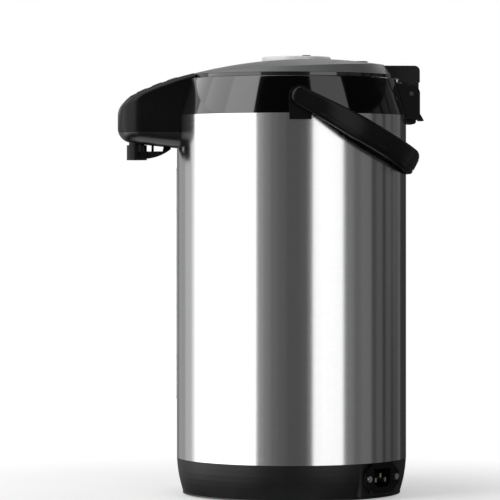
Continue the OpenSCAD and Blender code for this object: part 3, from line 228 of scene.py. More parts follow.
# Plastics, rubber, boards and inks: vary is the mottling, grain and depth are the skin's texture.
PLASTICS = {
    "gloss_black": dict(colour=(0.0015, 0.0015, 0.0017), rough=0.07, vary=0.15, grain=900, depth=0.012,
                        coat=0.4, spec=0.6, spread=0.015),
    "satin_black": dict(colour=(0.002, 0.002, 0.0022), rough=0.32, vary=0.1, grain=1800, depth=0.05,
                        spec=0.12),
    "base_black": dict(colour=(0.0045, 0.0045, 0.0047), rough=0.42, vary=0.1, grain=1500, depth=0.06,
                       spec=0.36),
    "beak_black": dict(colour=(0.0035, 0.0035, 0.0038), rough=0.25, vary=0.1, grain=1500, depth=0.02,
                       spec=0.12),
    "cover_black": dict(colour=(0.0035, 0.0035, 0.0038), rough=0.3, vary=0.1, grain=1500, depth=0.02),
    "grain_black": dict(colour=(0.011, 0.011, 0.0115), rough=0.42, vary=0.1, grain=1500, depth=0.12),
    "lid_grey": dict(colour=(0.08, 0.081, 0.083), rough=0.4, vary=0.05, grain=2600, depth=0.03, spec=0.4),
    "plate_white": dict(colour=(0.76, 0.765, 0.76), rough=0.3, vary=0.02, grain=1800, depth=0.03),
    "dark_grey": dict(colour=(0.05, 0.051, 0.054), rough=0.42, vary=0.08, grain=1500, depth=0.1),
    "silicone": dict(colour=(0.72, 0.71, 0.68), rough=0.5, vary=0.04, grain=900, depth=0.06),
    "rubber": dict(colour=(0.03, 0.03, 0.03), rough=0.75, vary=0.12, grain=700, depth=0.18),
    "cream": dict(colour=(0.66, 0.62, 0.54), rough=0.4, vary=0.04, grain=1400, depth=0.06),
    "board": dict(colour=(0.03, 0.17, 0.08), rough=0.35, vary=0.15, grain=500, depth=0.1),
    "ceramic": dict(colour=(0.07, 0.07, 0.072), rough=0.55, vary=0.12, grain=900, depth=0.15),
    "ink_black": dict(colour=(0.01, 0.01, 0.011), rough=0.5, vary=0.15, grain=2500, depth=0.05),
    "ink_grey": dict(colour=(0.16, 0.16, 0.165), rough=0.5, vary=0.1, grain=2500, depth=0.05),
    "ink_white": dict(colour=(0.62, 0.62, 0.62), rough=0.5, vary=0.06, grain=2500, depth=0.05),
}
# Metals, and the heaters' mica: streak stretches the grain along X, Y and Z.
METALS = {
    "steel": dict(colour=(0.62, 0.62, 0.63), rough=0.28),
    "pot_steel": dict(colour=(0.66, 0.655, 0.64), rough=0.3, streak=(60, 60, 900), depth=0.05),
    "black_steel": dict(colour=(0.06, 0.06, 0.062), rough=0.3),
    "brass": dict(colour=(0.8, 0.75, 0.62), rough=0.25),
    "mica": dict(colour=(0.5, 0.47, 0.4), rough=0.42, streak=(200, 200, 30), depth=0.15, vary=0.12),
}
M = {name: plastic(name, **look) for name, look in PLASTICS.items()}
M.update((name, metal(name, **look)) for name, look in METALS.items())
M["steel_sleeve"] = brushed_sleeve("steel_sleeve", (0.6, 0.6, 0.605))
M["clear"] = clear("clear", (0.82, 0.88, 0.9))
M["lens"] = clear("lens", (0.08, 0.42, 0.16), rough=0.08, alpha=0.9)

# Which CAD nodes have which material.
FINISHES = {
    "steel_sleeve": "steel_shell",
    "steel": "swivel_washer base_screws lever_pin thermostats pump_motor inlet_screws bail_pins release_pin"
             " bracket_screws lid_screws pump_spring",
    "pot_steel": "inner_pot lid_plate",
    "black_steel": "hinge_pin",
    "brass": "inlet_pins",
    "mica": "band_heater base_heater",
    "gloss_black": "collar beak_cover bail_handle lid_base lid_latch",
    "satin_black": "control_panel inlet_socket ear_pads hinge_bracket lid_release",
    "base_black": "base_shell",
    "beak_black": "nozzle cup_lever",
    "grain_black": "turntable base_plate",
    "lid_grey": "lid_cover steam_vent",
    "plate_white": "push_plate",
    "dark_grey": "dispense_button unlock_button reboil_button lever_switch pump_lock",
    "silicone": "pot_seal outlet_hose pump_hose lid_seal",
    "rubber": "foot_pads bellows",
    "cream": "outlet_elbow pump_housing impeller",
    "board": "control_board power_board",
    "ceramic": "drive_magnet",
    "clear": "gauge_window gauge_tube",
    "lens": "panel_lenses",
}
for material, nodes in FINISHES.items():
    for node in nodes.split():
        NODES[node].data.materials.clear()
        NODES[node].data.materials.append(M[material])

# ---------------------------------------------------------------- mesh helpers


def mm(points):
    """Points in mm, turned into metres."""
    return [tuple(c * MM for c in point) for point in points]


def finish_normals(obj, angle):
    """Faces outward, and smooth except across edges sharper than an angle in degrees."""
    bm = bmesh.new()
    bm.from_mesh(obj.data)
    bmesh.ops.recalc_face_normals(bm, faces=bm.faces)
    bm.to_mesh(obj.data)
    bm.free()
    for poly in obj.data.polygons:
        poly.use_smooth = True
    obj.data.set_sharp_from_angle(angle=math.radians(angle))


def add_mesh(name, verts, faces, material=None, smooth=None):
    """A new object from verts and faces, with a material and smooth normals if asked."""
    mesh = bpy.data.meshes.new(name)
    mesh.from_pydata(verts, [], faces)
    mesh.validate()
    mesh.update()
    obj = bpy.data.objects.new(name, mesh)
    bpy.context.scene.collection.objects.link(obj)
    if material:
        mesh.materials.append(material)
    if smooth is not None:
        finish_normals(obj, smooth)
    return obj


def loft(sections):
    """Verts and faces through closed sections of equal count, first and last closed off."""
    n = len(sections[0])
    verts = [tuple(v) for s in sections for v in s]
    faces = []
    for i in range(len(sections) - 1):
        for j in range(n):
            k = (j + 1) % n
            faces.append((i * n + j, i * n + k, (i + 1) * n + k, (i + 1) * n + j))
    faces.append(tuple(range(n - 1, -1, -1)))
    faces.append(tuple(range((len(sections) - 1) * n, len(sections) * n)))
    return verts, faces


def turned(profile, n, x=0.0):
    """Verts and faces of a closed (r, z) profile in mm, turned in n steps about the upright at x."""
    m = len(profile)
    turns = [2 * math.pi * i / n for i in range(n)]
    verts = mm([(x + r * math.cos(a), r * math.sin(a), z) for a in turns for r, z in profile])
    faces = []
    for i in range(n):
        for j in range(m):
            here, on, up = i * m, (i + 1) % n * m, (j + 1) % m
            faces.append((here + j, on + j, on + up, here + up))
    return verts, faces


def box(lo, hi):
    """Verts and faces of a box between two corners in mm."""
    (x0, y0, z0), (x1, y1, z1) = lo, hi
    ends = [[(x, y0, z0), (x, y1, z0), (x, y1, z1), (x, y0, z1)] for x in (x0, x1)]
    return loft([mm(end) for end in ends])


def round_corners(profile, r, n=4):
    """A closed profile with each corner rounded; a corner may carry its own radius as a third value."""
    out = []
    for i, corner in enumerate(profile):
        at = Vector(corner[:2])
        back = Vector(profile[i - 1][:2]) - at
        on = Vector(profile[(i + 1) % len(profile)][:2]) - at
        d = min(corner[2] if len(corner) > 2 else r, back.length * 0.45, on.length * 0.45)
        if d <= 1e-6:
            out.append(tuple(at))
            continue
        start = at + back.normalized() * d
        end = at + on.normalized() * d
        for k in range(n + 1):
            t = k / n
            out.append(tuple(start * (1 - t) ** 2 + at * (2 * t * (1 - t)) + end * t ** 2))
    return out


def cut(obj, cutters):
    """Cuts meshes out of an object, and removes them."""
    for verts, faces in cutters:
        cutter = add_mesh("cutter", verts, faces, smooth=180)
        modifier = obj.modifiers.new("cut", "BOOLEAN")
        modifier.operation = "DIFFERENCE"
        modifier.solver = "EXACT"
        modifier.object = cutter
        bpy.context.view_layer.update()
        evaluated = obj.evaluated_get(bpy.context.evaluated_depsgraph_get())
        mesh = bpy.data.meshes.new_from_object(evaluated)
        obj.modifiers.clear()
        obj.data = mesh
        bpy.data.objects.remove(cutter)


def bisected(obj, name, z, keep_above):
    """A copy of an object kept on one side of a level plane, and closed there."""
    mesh = obj.data.copy()
    bm = bmesh.new()
    bm.from_mesh(mesh)
    every = bm.verts[:] + bm.edges[:] + bm.faces[:]
    sliced = bmesh.ops.bisect_plane(bm, geom=every, plane_co=(0, 0, z * MM), plane_no=(0, 0, 1),
                                    clear_outer=not keep_above, clear_inner=keep_above)
    rim = [edge for edge in sliced["geom_cut"] if isinstance(edge, bmesh.types.BMEdge)]
    bmesh.ops.holes_fill(bm, edges=rim, sides=0)
    bm.to_mesh(mesh)
    bm.free()
    kept = bpy.data.objects.new(name, mesh)
    bpy.context.scene.collection.objects.link(kept)
    return kept


def piece(obj, body, slot, replaced=None):
    """Puts a finished piece on its body and takes the place of a CAD node; its slot is not used."""
    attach(obj, body)
    if replaced:
        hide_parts(replaced)


# ---------------------------------------------------------------- sizes shared with the solids


def edges(node):
    """Lowest and highest corner of a CAD node, in mm."""
    return [[round(c / MM, 2) for c in corner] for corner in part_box(node)]


def middle(node, axis=0):
    """Middle of a CAD node along X, Y or Z, in mm."""
    low, high = edges(node)
    return round((low[axis] + high[axis]) / 2, 2)


SHELL_HIGH = edges("steel_shell")[1]
SHELL_R, COLLAR_Z = SHELL_HIGH[0], SHELL_HIGH[2]
COLLAR_LOW, COLLAR_HIGH = edges("collar")
BEAK_REACH, COLLAR_R, SPLIT_Z = -COLLAR_LOW[0], COLLAR_HIGH[0], COLLAR_LOW[2]
BEAK_W = 2 * edges("beak_cover")[1][1]
COLLAR_TOP, COLLAR_TOP_R = COLLAR_Z + 34, COLLAR_R - 10
LID_R, POT_R = COLLAR_TOP_R - 3.7, 84.8
THROAT_R, THROAT_TOP_R, SHELF_Z = POT_R + 3.2, POT_R + 7.4, COLLAR_TOP - 18

# The crown's arc runs from its root at the lid to the brow above the nose.
CROWN_R = 265.0
ROOT = Vector((-LID_R, COLLAR_TOP + 4.5))
BROW = ROOT + Vector((-58.4, -21.8))
CHORD = BROW - ROOT
CROWN_TO_CHORD = math.sqrt(CROWN_R ** 2 - (CHORD.length / 2) ** 2)
CROWN_C = (ROOT + BROW) / 2 + Vector((-CHORD.y, CHORD.x)).normalized() * CROWN_TO_CHORD


def crown(x):
    """Height of the crown's arc."""
    return CROWN_C.y + math.sqrt(CROWN_R ** 2 - (x - CROWN_C.x) ** 2)


# ---------------------------------------------------------------- beak

FLOOR_Z, FLOOR_DROP = COLLAR_Z - 24.5, 5.5
NOSE_R, NOSE_RUN, NOSE_FULLNESS = 16.0, 24.0, 2.3
CHIN_R, CHIN_Z, CHIN_RUN = 13.0, 325.6, 22.0
TOP_EDGE_R, BELLY_EDGE_R, SOFTENING = 7.5, 12.5, 3.0
BEAK_BACK, SEAM, FIT, LID_GAP = -86.0, 0.25, 0.15, 0.4
PANEL_LOW, PANEL_HIGH = edges("control_panel")
PANEL_X0, PANEL_X1, PANEL_W, PANEL_SINK = PANEL_LOW[0], PANEL_HIGH[0], 2 * PANEL_HIGH[1], 1.7
# Openings in the cover for the nozzle, the switch's plunger and the cup lever.
NOZZLE_X, NOZZLE_R, OPENING_TOP = middle("nozzle"), 7.5, 334.0
PLUNGER_X, PLUNGER_W = middle("lever_switch"), 5.2
LEVER_X, LEVER_L, LEVER_W, LEVER_TOP = -116.5, 13.0, 9.0, 331.0
# Levels that are clear below and above the beak, for cutters to end at.
BELOW, ABOVE = 300.0, 420.0


def floor_at(x):
    """Height of the beak's floor, which slopes down from the nose to the steel."""
    return FLOOR_Z - FLOOR_DROP * (x + BEAK_REACH) / (BEAK_REACH - SHELL_R)


def beak_line(x):
    """Top in profile: the nose's circle, its tangent through the brow, and the crown's arc."""
    nose_x = -BEAK_REACH + NOSE_R
    brow_x, brow_z = BROW.x - nose_x, BROW.y - COLLAR_Z
    turn = math.atan2(brow_z, brow_x) + math.acos(NOSE_R / math.hypot(brow_x, brow_z))
    touch_x, touch_z = nose_x + NOSE_R * math.cos(turn), COLLAR_Z + NOSE_R * math.sin(turn)
    if x < touch_x:
        return COLLAR_Z + math.sqrt(max(0.0, NOSE_R ** 2 - (x - nose_x) ** 2))
    if x < BROW.x:
        return touch_z + (BROW.y - touch_z) * (x - touch_x) / (BROW.x - touch_x)
    return crown(x)


def beak_top(x):
    """The top's line, averaged over a short reach to soften its bends."""
    reach = min(SOFTENING, max(0.0, x + BEAK_REACH) * 0.5)
    return sum(beak_line(x + reach * k / 4) for k in range(-4, 5)) / 9


def beak_bottom(x):
    """Underside in profile: the chin's arc, then the sloping floor."""
    chin = -BEAK_REACH + CHIN_R
    if x < chin:
        return CHIN_Z + CHIN_R - math.sqrt(max(0.0, CHIN_R ** 2 - (x - chin) ** 2))
    left = max(0.0, 1 - (x - chin) / CHIN_RUN)
    return floor_at(x) + (CHIN_Z - floor_at(chin)) * left ** 2


def beak_section(x):
    """Rounded rectangle across the beak, narrower toward the nose; its corner arcs never quite meet."""
    short = max(0.0, 1 - max(0.0, x + BEAK_REACH) / NOSE_RUN)
    w = max(0.05, BEAK_W / 2 * math.sqrt(max(0.0, 1 - short ** NOSE_FULLNESS)))
    top, bottom = beak_top(x), beak_bottom(x)
    r, s = (min(edge, w * 0.98, (top - bottom) * 0.45) for edge in (TOP_EDGE_R, BELLY_EDGE_R))
    points = []
    corners = ((w - r, top - r, r), (r - w, top - r, r), (s - w, bottom + s, s), (w - s, bottom + s, s))
    for quarter, (y, z, radius) in enumerate(corners):
        for i in range(11):
            a = math.radians(90 * quarter + 9 * i)
            points.append((x, y + radius * math.cos(a), z + radius * math.sin(a)))
    return mm(points)


def beak_form():
    """The beak's whole moulding, cut back to the steel, the collar's throat and the lid."""
    nose_end = -BEAK_REACH + NOSE_RUN
    xs = [nose_end - NOSE_RUN * math.cos(math.pi / 2 * i / 22) for i in range(23)]
    xs += [nose_end + (BEAK_BACK - nose_end) * i / 26 for i in range(1, 27)]
    form = add_mesh("beak_form", *loft([beak_section(x) for x in xs]), smooth=30)
    throat_r = LID_R - 0.1
    core = [(0, BELOW), (SHELL_R + FIT, BELOW), (SHELL_R + FIT, COLLAR_Z), (throat_r, COLLAR_Z),
            (throat_r, COLLAR_TOP), (LID_R + LID_GAP, COLLAR_TOP), (LID_R + LID_GAP, ABOVE), (0, ABOVE)]
    cut(form, [turned(core, 180)])
    return form


def panel_seat():
    """Cutter for the control panel's seat, which follows the crown."""
    x0, x1, y = PANEL_X0 - FIT, PANEL_X1 + FIT, PANEL_W / 2 + FIT
    sections = []
    for i in range(25):
        x = x0 + (x1 - x0) * i / 24
        z = crown(x) - PANEL_SINK
        sections.append(mm([(x, -y, z), (x, y, z), (x, y, ABOVE), (x, -y, ABOVE)]))
    return loft(sections)


def slot_cutter(x, long, wide, top):
    """Cutter for a slot in the beak's floor."""
    return box((x - long / 2, -wide / 2, BELOW), (x + long / 2, wide / 2, top))


def beak():
    """The upper moulding with the panel's seat, and the cover below it with its three openings."""
    form = beak_form()
    upper = bisected(form, "beak_upper", SPLIT_Z, True)
    lower = bisected(form, "beak_lower", SPLIT_Z - SEAM, False)
    bpy.data.objects.remove(form)
    cut(upper, [panel_seat()])
    nozzle_hole = [(0, BELOW), (NOZZLE_R, BELOW), (NOZZLE_R, OPENING_TOP), (0, OPENING_TOP)]
    cut(lower, [turned(nozzle_hole, 48, NOZZLE_X),
                slot_cutter(PLUNGER_X, PLUNGER_W, PLUNGER_W, OPENING_TOP),
                slot_cutter(LEVER_X, LEVER_L, LEVER_W, LEVER_TOP)])
    for obj, look, replaced in ((upper, "beak_black", None), (lower, "cover_black", "beak_cover")):
        obj.data.materials.clear()
        obj.data.materials.append(M[look])
        finish_normals(obj, 32)
        piece(obj, "pot", "gloss_black", replaced)


beak()

# ---------------------------------------------------------------- collar and lid tab

# Two corners of the latch's pocket, the skirt inside the steel's top, and the lid's rib.
LATCH_POCKET = (-92.9, -8.5, 374.9), (BEAK_BACK, 8.5, 378.5)
SKIRT_R, SKIRT_Z = SHELL_R - 0.9, COLLAR_Z - 2
RIB_X0, RIB_X1, RIB_Z0, RIB_Z1, RIB_EDGE_R = 98.35, 100.2, 381.35, 386.0, 0.6
RIB_HALF = edges("hinge_pin")[1][1]


def collar():
    """The tapered shoulder, with the lid's throat and a pocket for the latch's tongue."""
    inner_r = POT_R + 0.4
    ring = [(COLLAR_R, COLLAR_Z, 0.5), (COLLAR_TOP_R, COLLAR_TOP, 0.8), (THROAT_TOP_R, COLLAR_TOP, 0.5),
            (THROAT_R, SHELF_Z), (inner_r, SHELF_Z), (inner_r, SKIRT_Z), (SKIRT_R, SKIRT_Z, 0.2),
            (SKIRT_R, COLLAR_Z, 0)]
    obj = add_mesh("collar_ring", *turned(round_corners(ring, 0.3), 256), material=M["gloss_black"])
    cut(obj, [box(*LATCH_POCKET)])
    finish_normals(obj, 25)
    piece(obj, "pot", "gloss_black", "collar")


def tab_rib():
    """The lid's rib, which closes the slit below the hinge tab."""
    corners = [(RIB_X0, RIB_Z0, RIB_EDGE_R), (RIB_X1, RIB_Z0), (RIB_X1, RIB_Z1), (RIB_X0, RIB_Z1)]
    ends = [mm([(x, y, z) for x, z in round_corners(corners, 0)]) for y in (-RIB_HALF, RIB_HALF)]
    obj = add_mesh("tab_rib", *loft(ends), material=M["gloss_black"], smooth=30)
    piece(obj, "lid", "gloss_black")


collar()
tab_rib()

# ---------------------------------------------------------------- bail handle

BAIL_PIVOT_Z, BAIL_REST = middle("bail_pins", 2), math.radians(28)
BAIL_HALF, BAIL_REACH, BAIL_T, APEX_T = edges("bail_handle")[1][1], 131.0, 7.5, 4.6
EYE_R, BAND_HALF, ARM, WIDEN_RUN = 8.2, 11.0, 20.0, 60.0
TOP_CORNER, LOW_CORNER = 10.5, 6.0
EYE_DOME, DOME_START, DOME_RUN = 2.6, 3.5, 4.7
# Points of the band's section: share of its half height, and depth in from its outer face ...
OUTER = [(1.0, 2.5), (0.985, 1.5), (0.94, 0.85), (0.86, 0.42), (0.7, 0.14), (0.45, 0.02), (0.15, 0.0),
         (-0.15, 0.0), (-0.34, 0.03), (-0.4, 0.08), (-0.42, 0.75), (-0.5, 0.85), (-0.58, 0.8), (-0.61, 0.12),
         (-0.7, 0.16), (-0.86, 0.45), (-0.94, 0.9), (-0.985, 1.55), (-1.0, 2.5)]
# ... or from its inner face, and the stretch of the outer face that is a groove.
INNER = [(-1.0, -1.2), (-0.97, -0.45), (-0.85, 0.0), (0.0, 0.0), (0.85, 0.0), (0.97, -0.45), (1.0, -1.2)]
GROOVE, GROOVE_RIM, GROOVE_START, GROOVE_RUN = (-0.6, -0.41), 0.1, 22.0, 5.0


def share(v):
    """A value held between 0 and 1."""
    return max(0.0, min(1.0, v))


def bail_stations():
    """Outer and inner points along the band, seen from above: eye, arm, half round, arm and eye."""
    xs = [-EYE_R * math.cos(math.pi / 2 * i / 8) for i in range(9)] + [ARM * i / 5 for i in range(1, 5)]
    inner_half = BAIL_HALF - BAIL_T
    left, right = ([((x, side * BAIL_HALF), (x, side * inner_half)) for x in xs] for side in (-1, 1))
    bow = []
    for i in range(121):
        a = math.radians(-90 + 180 * i / 120)
        outer = (ARM + (BAIL_REACH - ARM) * math.cos(a), BAIL_HALF * math.sin(a))
        inner = (ARM + (BAIL_REACH - APEX_T - ARM) * math.cos(a), inner_half * math.sin(a))
        bow.append((outer, inner))
    return left + bow + right[::-1]


def half_height(x):
    """Half of the band's height: the eye's round, then wider up to the full band."""
    if x < 0:
        return math.sqrt(max(0.01, EYE_R ** 2 - x ** 2))
    return EYE_R + (BAND_HALF - EYE_R) * min(1, x / WIDEN_RUN)


def bail_section(outer, inner):
    """Section across the band from an outer to an inner point, laid back at the rest angle."""
    x = outer[0]
    half = half_height(x)
    thick = math.dist(outer, inner)
    across_x, across_y = (inner[0] - x) / thick, (inner[1] - outer[1]) / thick
    dome = EYE_DOME * (1 - math.sqrt(1 - share((-x - DOME_START) / DOME_RUN) ** 2))
    groove = share((x - GROOVE_START) / GROOVE_RUN)
    flat = []
    for height, depth in OUTER:
        if GROOVE[0] < height < GROOVE[1]:
            depth = GROOVE_RIM + (depth - GROOVE_RIM) * groove
        flat.append((height * half, min(depth, thick * 0.4) + dome))
    flat += [(height * half, thick + depth) for height, depth in INNER]
    points = []
    for z, depth in flat:
        reach = x + across_x * depth
        corner = TOP_CORNER if z > 0 else LOW_CORNER
        past = abs(z) - (BAND_HALF - corner)
        if past > 0:
            reach = min(reach, BAIL_REACH - corner + math.sqrt(max(0.0, corner ** 2 - past ** 2)))
        points.append((reach * math.cos(BAIL_REST) + z * math.sin(BAIL_REST), outer[1] + across_y * depth,
                       BAIL_PIVOT_Z - reach * math.sin(BAIL_REST) + z * math.cos(BAIL_REST)))
    return mm(points)


bail = add_mesh("bail", *loft([bail_section(*station) for station in bail_stations()]),
                material=M["beak_black"], smooth=38)
piece(bail, "bail", "satin_black", "bail_handle")

# ---------------------------------------------------------------- bellows and pump spring

BELLOWS_LOW, BELLOWS_HIGH = edges("bellows")
PLATE_X, BELLOWS_R, WELL_Z = middle("bellows"), BELLOWS_HIGH[1], BELLOWS_LOW[2]
PUMP_H = BELLOWS_HIGH[2] - WELL_Z
STROKE, FOLDS, FOLD_DEPTH, FOLD_R, BELLOWS_WALL = 16.0, 4, 3.8, 1.6, 1.4
SPRING_R, WIRE_R, END_PITCH, TURNS = 17.4, 0.9, 1.9, 6
WIRE_SIDES, TURN_STEPS = 10, 36


def bellows():
    """Folded rubber tube between the well's floor and the push plate."""
    fold_h = PUMP_H / (2 * FOLDS)
    outside = [(BELLOWS_R - (i % 2) * FOLD_DEPTH, WELL_Z + fold_h * i) for i in range(2 * FOLDS + 1)]
    inside = [(r - BELLOWS_WALL, z) for r, z in reversed(outside)]
    wall = round_corners(outside + inside, FOLD_R, 5)
    return add_mesh("pump_bellows", *turned(wall, 128, PLATE_X), material=M["rubber"], smooth=60)


def wire_z(turn):
    """Height of the wire's middle after a number of turns: closed first and last, open between."""
    pitch = (PUMP_H - 2 * WIRE_R - 2 * END_PITCH) / (TURNS - 2)
    closed = min(turn, 1) + max(0.0, turn - TURNS + 1)
    opened = max(0.0, min(turn, TURNS - 1) - 1)
    return WELL_Z + WIRE_R + closed * END_PITCH + opened * pitch


def wire_section(turn):
    """Round section of the wire after a number of turns."""
    a = 2 * math.pi * turn
    points = []
    for i in range(WIRE_SIDES):
        b = 2 * math.pi * i / WIRE_SIDES
        r = SPRING_R + WIRE_R * math.cos(b)
        points.append((PLATE_X + r * math.cos(a), r * math.sin(a), wire_z(turn) + WIRE_R * math.sin(b)))
    return mm(points)


def spring():
    """Coil inside the bellows that lifts the push plate."""
    coil = loft([wire_section(i / TURN_STEPS) for i in range(TURN_STEPS * TURNS + 1)])
    return add_mesh("return_spring", *coil, material=M["steel"], smooth=50)


for obj, slot, node in ((bellows(), "rubber", "bellows"), (spring(), "plain_steel", "pump_spring")):
    piece(obj, "lid", slot, node)
    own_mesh(obj)

# ---------------------------------------------------------------- strokes of ink

INK = 0.06


def ribbon(points, width, lay, verts, faces):
    """Adds a stroke to verts and faces: a line of a width and the ink's thickness, laid on a surface."""
    points = [Vector(point) for point in points]
    closed = (points[0] - points[-1]).length < 1e-6
    if closed:
        points.pop()
    n, first = len(points), len(verts)
    for i, at in enumerate(points):
        before = points[i - 1] if i or closed else at * 2 - points[1]
        after = points[(i + 1) % n] if i < n - 1 or closed else at * 2 - points[i - 1]
        come, go = (at - before).normalized(), (after - at).normalized()
        along = (come + go).normalized() if (come + go).length > 1e-6 else come
        side = Vector((-along.y, along.x)) * (width / 2) / max(0.5, along.dot(come))
        for sign, h in ((1, 0), (1, INK), (-1, INK), (-1, 0)):
            verts.append(lay(at.x + sign * side.x, at.y + sign * side.y, h))
    for i in range(n if closed else n - 1):
        a, b = first + 4 * i, first + 4 * ((i + 1) % n)
        faces += [(a + j, a + (j + 1) % 4, b + (j + 1) % 4, b + j) for j in range(4)]
    if not closed:
        last = first + 4 * (n - 1)
        faces += [(first, first + 3, first + 2, first + 1), (last, last + 1, last + 2, last + 3)]


def printed(name, strokes, lay, body, ink, slot):
    """A piece made of strokes, each its points and its width."""
    verts, faces = [], []
    for points, width in strokes:
        ribbon(points, width, lay, verts, faces)
    piece(add_mesh(name, verts, faces, material=M[ink], smooth=30), body, slot)


def joined(*runs):
    """One line through runs that each start where the last one ends."""
    return [point for i, run in enumerate(runs) for point in run[min(i, 1):]]


def line(x0, y0, x1, y1, n=6):
    """Points of a straight run in n steps."""
    return [(x0 + (x1 - x0) * i / n, y0 + (y1 - y0) * i / n) for i in range(n + 1)]


def arc(x, y, r, from_a, to_a, n=10):
    """Points of a round run in n steps, between two angles in degrees."""
    angles = [math.radians(from_a + (to_a - from_a) * i / n) for i in range(n + 1)]
    return [(x + r * math.cos(a), y + r * math.sin(a)) for a in angles]


def outline(x0, y0, x1, y1, across, up):
    """Closed rectangle with a number of steps across and up."""
    return joined(line(x0, y0, x1, y0, across), line(x1, y0, x1, y1, up), line(x1, y1, x0, y1, across),
                  line(x0, y1, x0, y0, up))


# ---------------------------------------------------------------- prints on the gauge window

WINDOW_LOW, WINDOW_HIGH = edges("gauge_window")
WINDOW_R, BORDER_SIDE, BORDER_END, BORDER_WIDTH = -WINDOW_LOW[0], 5.9, 6.2, 1.2
# Height of the pot's floor and of a litre in it, and the marks at each half and full litre.
POT_FLOOR, LITRE = 82.8, 45.1
MARK_U, SHORT_MARK, LONG_MARK, SHORT_WIDTH, LONG_WIDTH = -6.2, 2.4, 4.6, 0.45, 0.7
DIGIT_U, DIGIT_WIDTH = 3.0, 0.6
DIGITS = {
    1: [joined(line(-0.6, 1.3, 0.1, 1.9, 2), line(0.1, 1.9, 0.1, -1.9, 3))],
    2: [joined(arc(0, 0.8, 1.1, 165, -35), line(0.6, 0.0, -1.1, -1.9, 3)), line(-1.1, -1.9, 1.2, -1.9, 2)],
    3: [joined(arc(0, 0.95, 0.95, 150, -90), arc(0, -0.95, 0.95, 90, -150))],
    4: [line(0.5, -1.9, 0.5, 1.9, 3), joined(line(0.5, 1.9, -1.2, -0.8, 3), line(-1.2, -0.8, 1.2, -0.8, 3))],
}


def on_window(u, z, h):
    """Lays a point on the window: u round it, z up, h out from it."""
    a, r = math.pi + u / WINDOW_R, WINDOW_R + h
    return r * math.cos(a) * MM, r * math.sin(a) * MM, z * MM


def scale_strokes():
    """A mark for each half litre, longer and with a digit for each litre."""
    strokes = []
    for half_litre in range(1, 10):
        z = POT_FLOOR + LITRE * half_litre / 2
        if half_litre % 2:
            strokes.append((line(MARK_U, z, MARK_U + SHORT_MARK, z), SHORT_WIDTH))
            continue
        strokes.append((line(MARK_U, z, MARK_U + LONG_MARK, z), LONG_WIDTH))
        for stroke in DIGITS[half_litre // 2]:
            strokes.append(([(DIGIT_U + x, z + y) for x, y in stroke], DIGIT_WIDTH))
    return strokes


border_u = WINDOW_HIGH[1] - BORDER_SIDE
border = outline(-border_u, WINDOW_LOW[2] + BORDER_END, border_u, WINDOW_HIGH[2] - BORDER_END, 6, 30)
printed("gauge_scale", scale_strokes(), on_window, "pot", "ink_black", "satin_black")
printed("gauge_border", [(border, BORDER_WIDTH)], on_window, "pot", "ink_black", "satin_black")

# ---------------------------------------------------------------- prints on the panel and its keys

FRAME_SIDE, FRAME_END, FRAME_WIDTH = 2.2, 2.4, 0.4
DISH_R, DISH_RISE = 15.0, 15.4
FIRST_KEY, KEY_PITCH, SYMBOL_WIDTH = PANEL_X1 - 11.0, 14.0, 0.42
SYMBOLS = {
    "dispense_key": [arc(0, 0.2, 1.9, 180, 360, 12), line(-2.3, 0.2, 2.3, 0.2, 4), line(0, 3.0, 0, 1.4, 3),
                     line(-0.8, 2.1, 0, 1.3, 2), line(0.8, 2.1, 0, 1.3, 2)],
    "unlock_key": [outline(-1.9, -2.1, 1.9, 0.4, 4, 3),
                   joined(line(-1.2, 0.4, -1.2, 1.3, 2), arc(0, 1.3, 1.2, 180, 20))],
    "reboil_key": [[(x + 0.45 * math.sin(t * 0.9), -2.2 + t * 0.44) for t in range(11)]
                   for x in (-1.5, 0.0, 1.5)],
}


def on_panel(u, v, h):
    """Lays a point on the panel's arc: u across it, v along it, h out from it."""
    a = math.pi / 2 - ((PANEL_X0 + PANEL_X1) / 2 + v - CROWN_C.x) / CROWN_R
    r = CROWN_R + h
    return (CROWN_C.x + r * math.cos(a)) * MM, u * MM, (CROWN_C.y + r * math.sin(a)) * MM


def on_key(x):
    """Lays strokes in the dished top of the key that sits at x on the panel."""
    foot = Vector((x, crown(x)))
    up = (foot - CROWN_C) / CROWN_R
    along = Vector((up.y, -up.x))

    def lay(u, v, h):
        at = foot + along * v + up * (DISH_RISE - math.sqrt(DISH_R ** 2 - u ** 2 - v ** 2) + h)
        return at.x * MM, u * MM, at.y * MM

    return lay


frame_u, frame_v = PANEL_W / 2 - FRAME_SIDE, (PANEL_X1 - PANEL_X0) / 2 - FRAME_END
panel_frame = outline(-frame_u, -frame_v, frame_u, frame_v, 4, 12)
printed("panel_frame", [(panel_frame, FRAME_WIDTH)], on_panel, "pot", "ink_grey", "dark_grey")
for i, (body, lines) in enumerate(SYMBOLS.items()):
    strokes = [(points, SYMBOL_WIDTH) for points in lines]
    printed(body + "_symbol", strokes, on_key(FIRST_KEY - KEY_PITCH * i), body, "ink_white", "pale_plastic")

# ---------------------------------------------------------------- studio surfaces, in metres

FLOOR_HALF, FLOOR_FADE, FLAG_R, CARD_R, CARD_SIDES, CARD_LIGHT = 6, (0.16, 0.42), 1.2, 2, 32, 1.8


def emission(name, strength):
    """A material that gives off an even grey light."""
    material = bpy.data.materials.new(name)
    material.use_nodes = True
    tree = material.node_tree
    tree.nodes.clear()
    out = tree.nodes.new("ShaderNodeOutputMaterial")
    glow = tree.nodes.new("ShaderNodeEmission")
    glow.inputs[0].default_value = (strength, strength, strength, 1)
    glow.inputs[1].default_value = 1.0
    tree.links.new(glow.outputs[0], out.inputs[0])
    return material


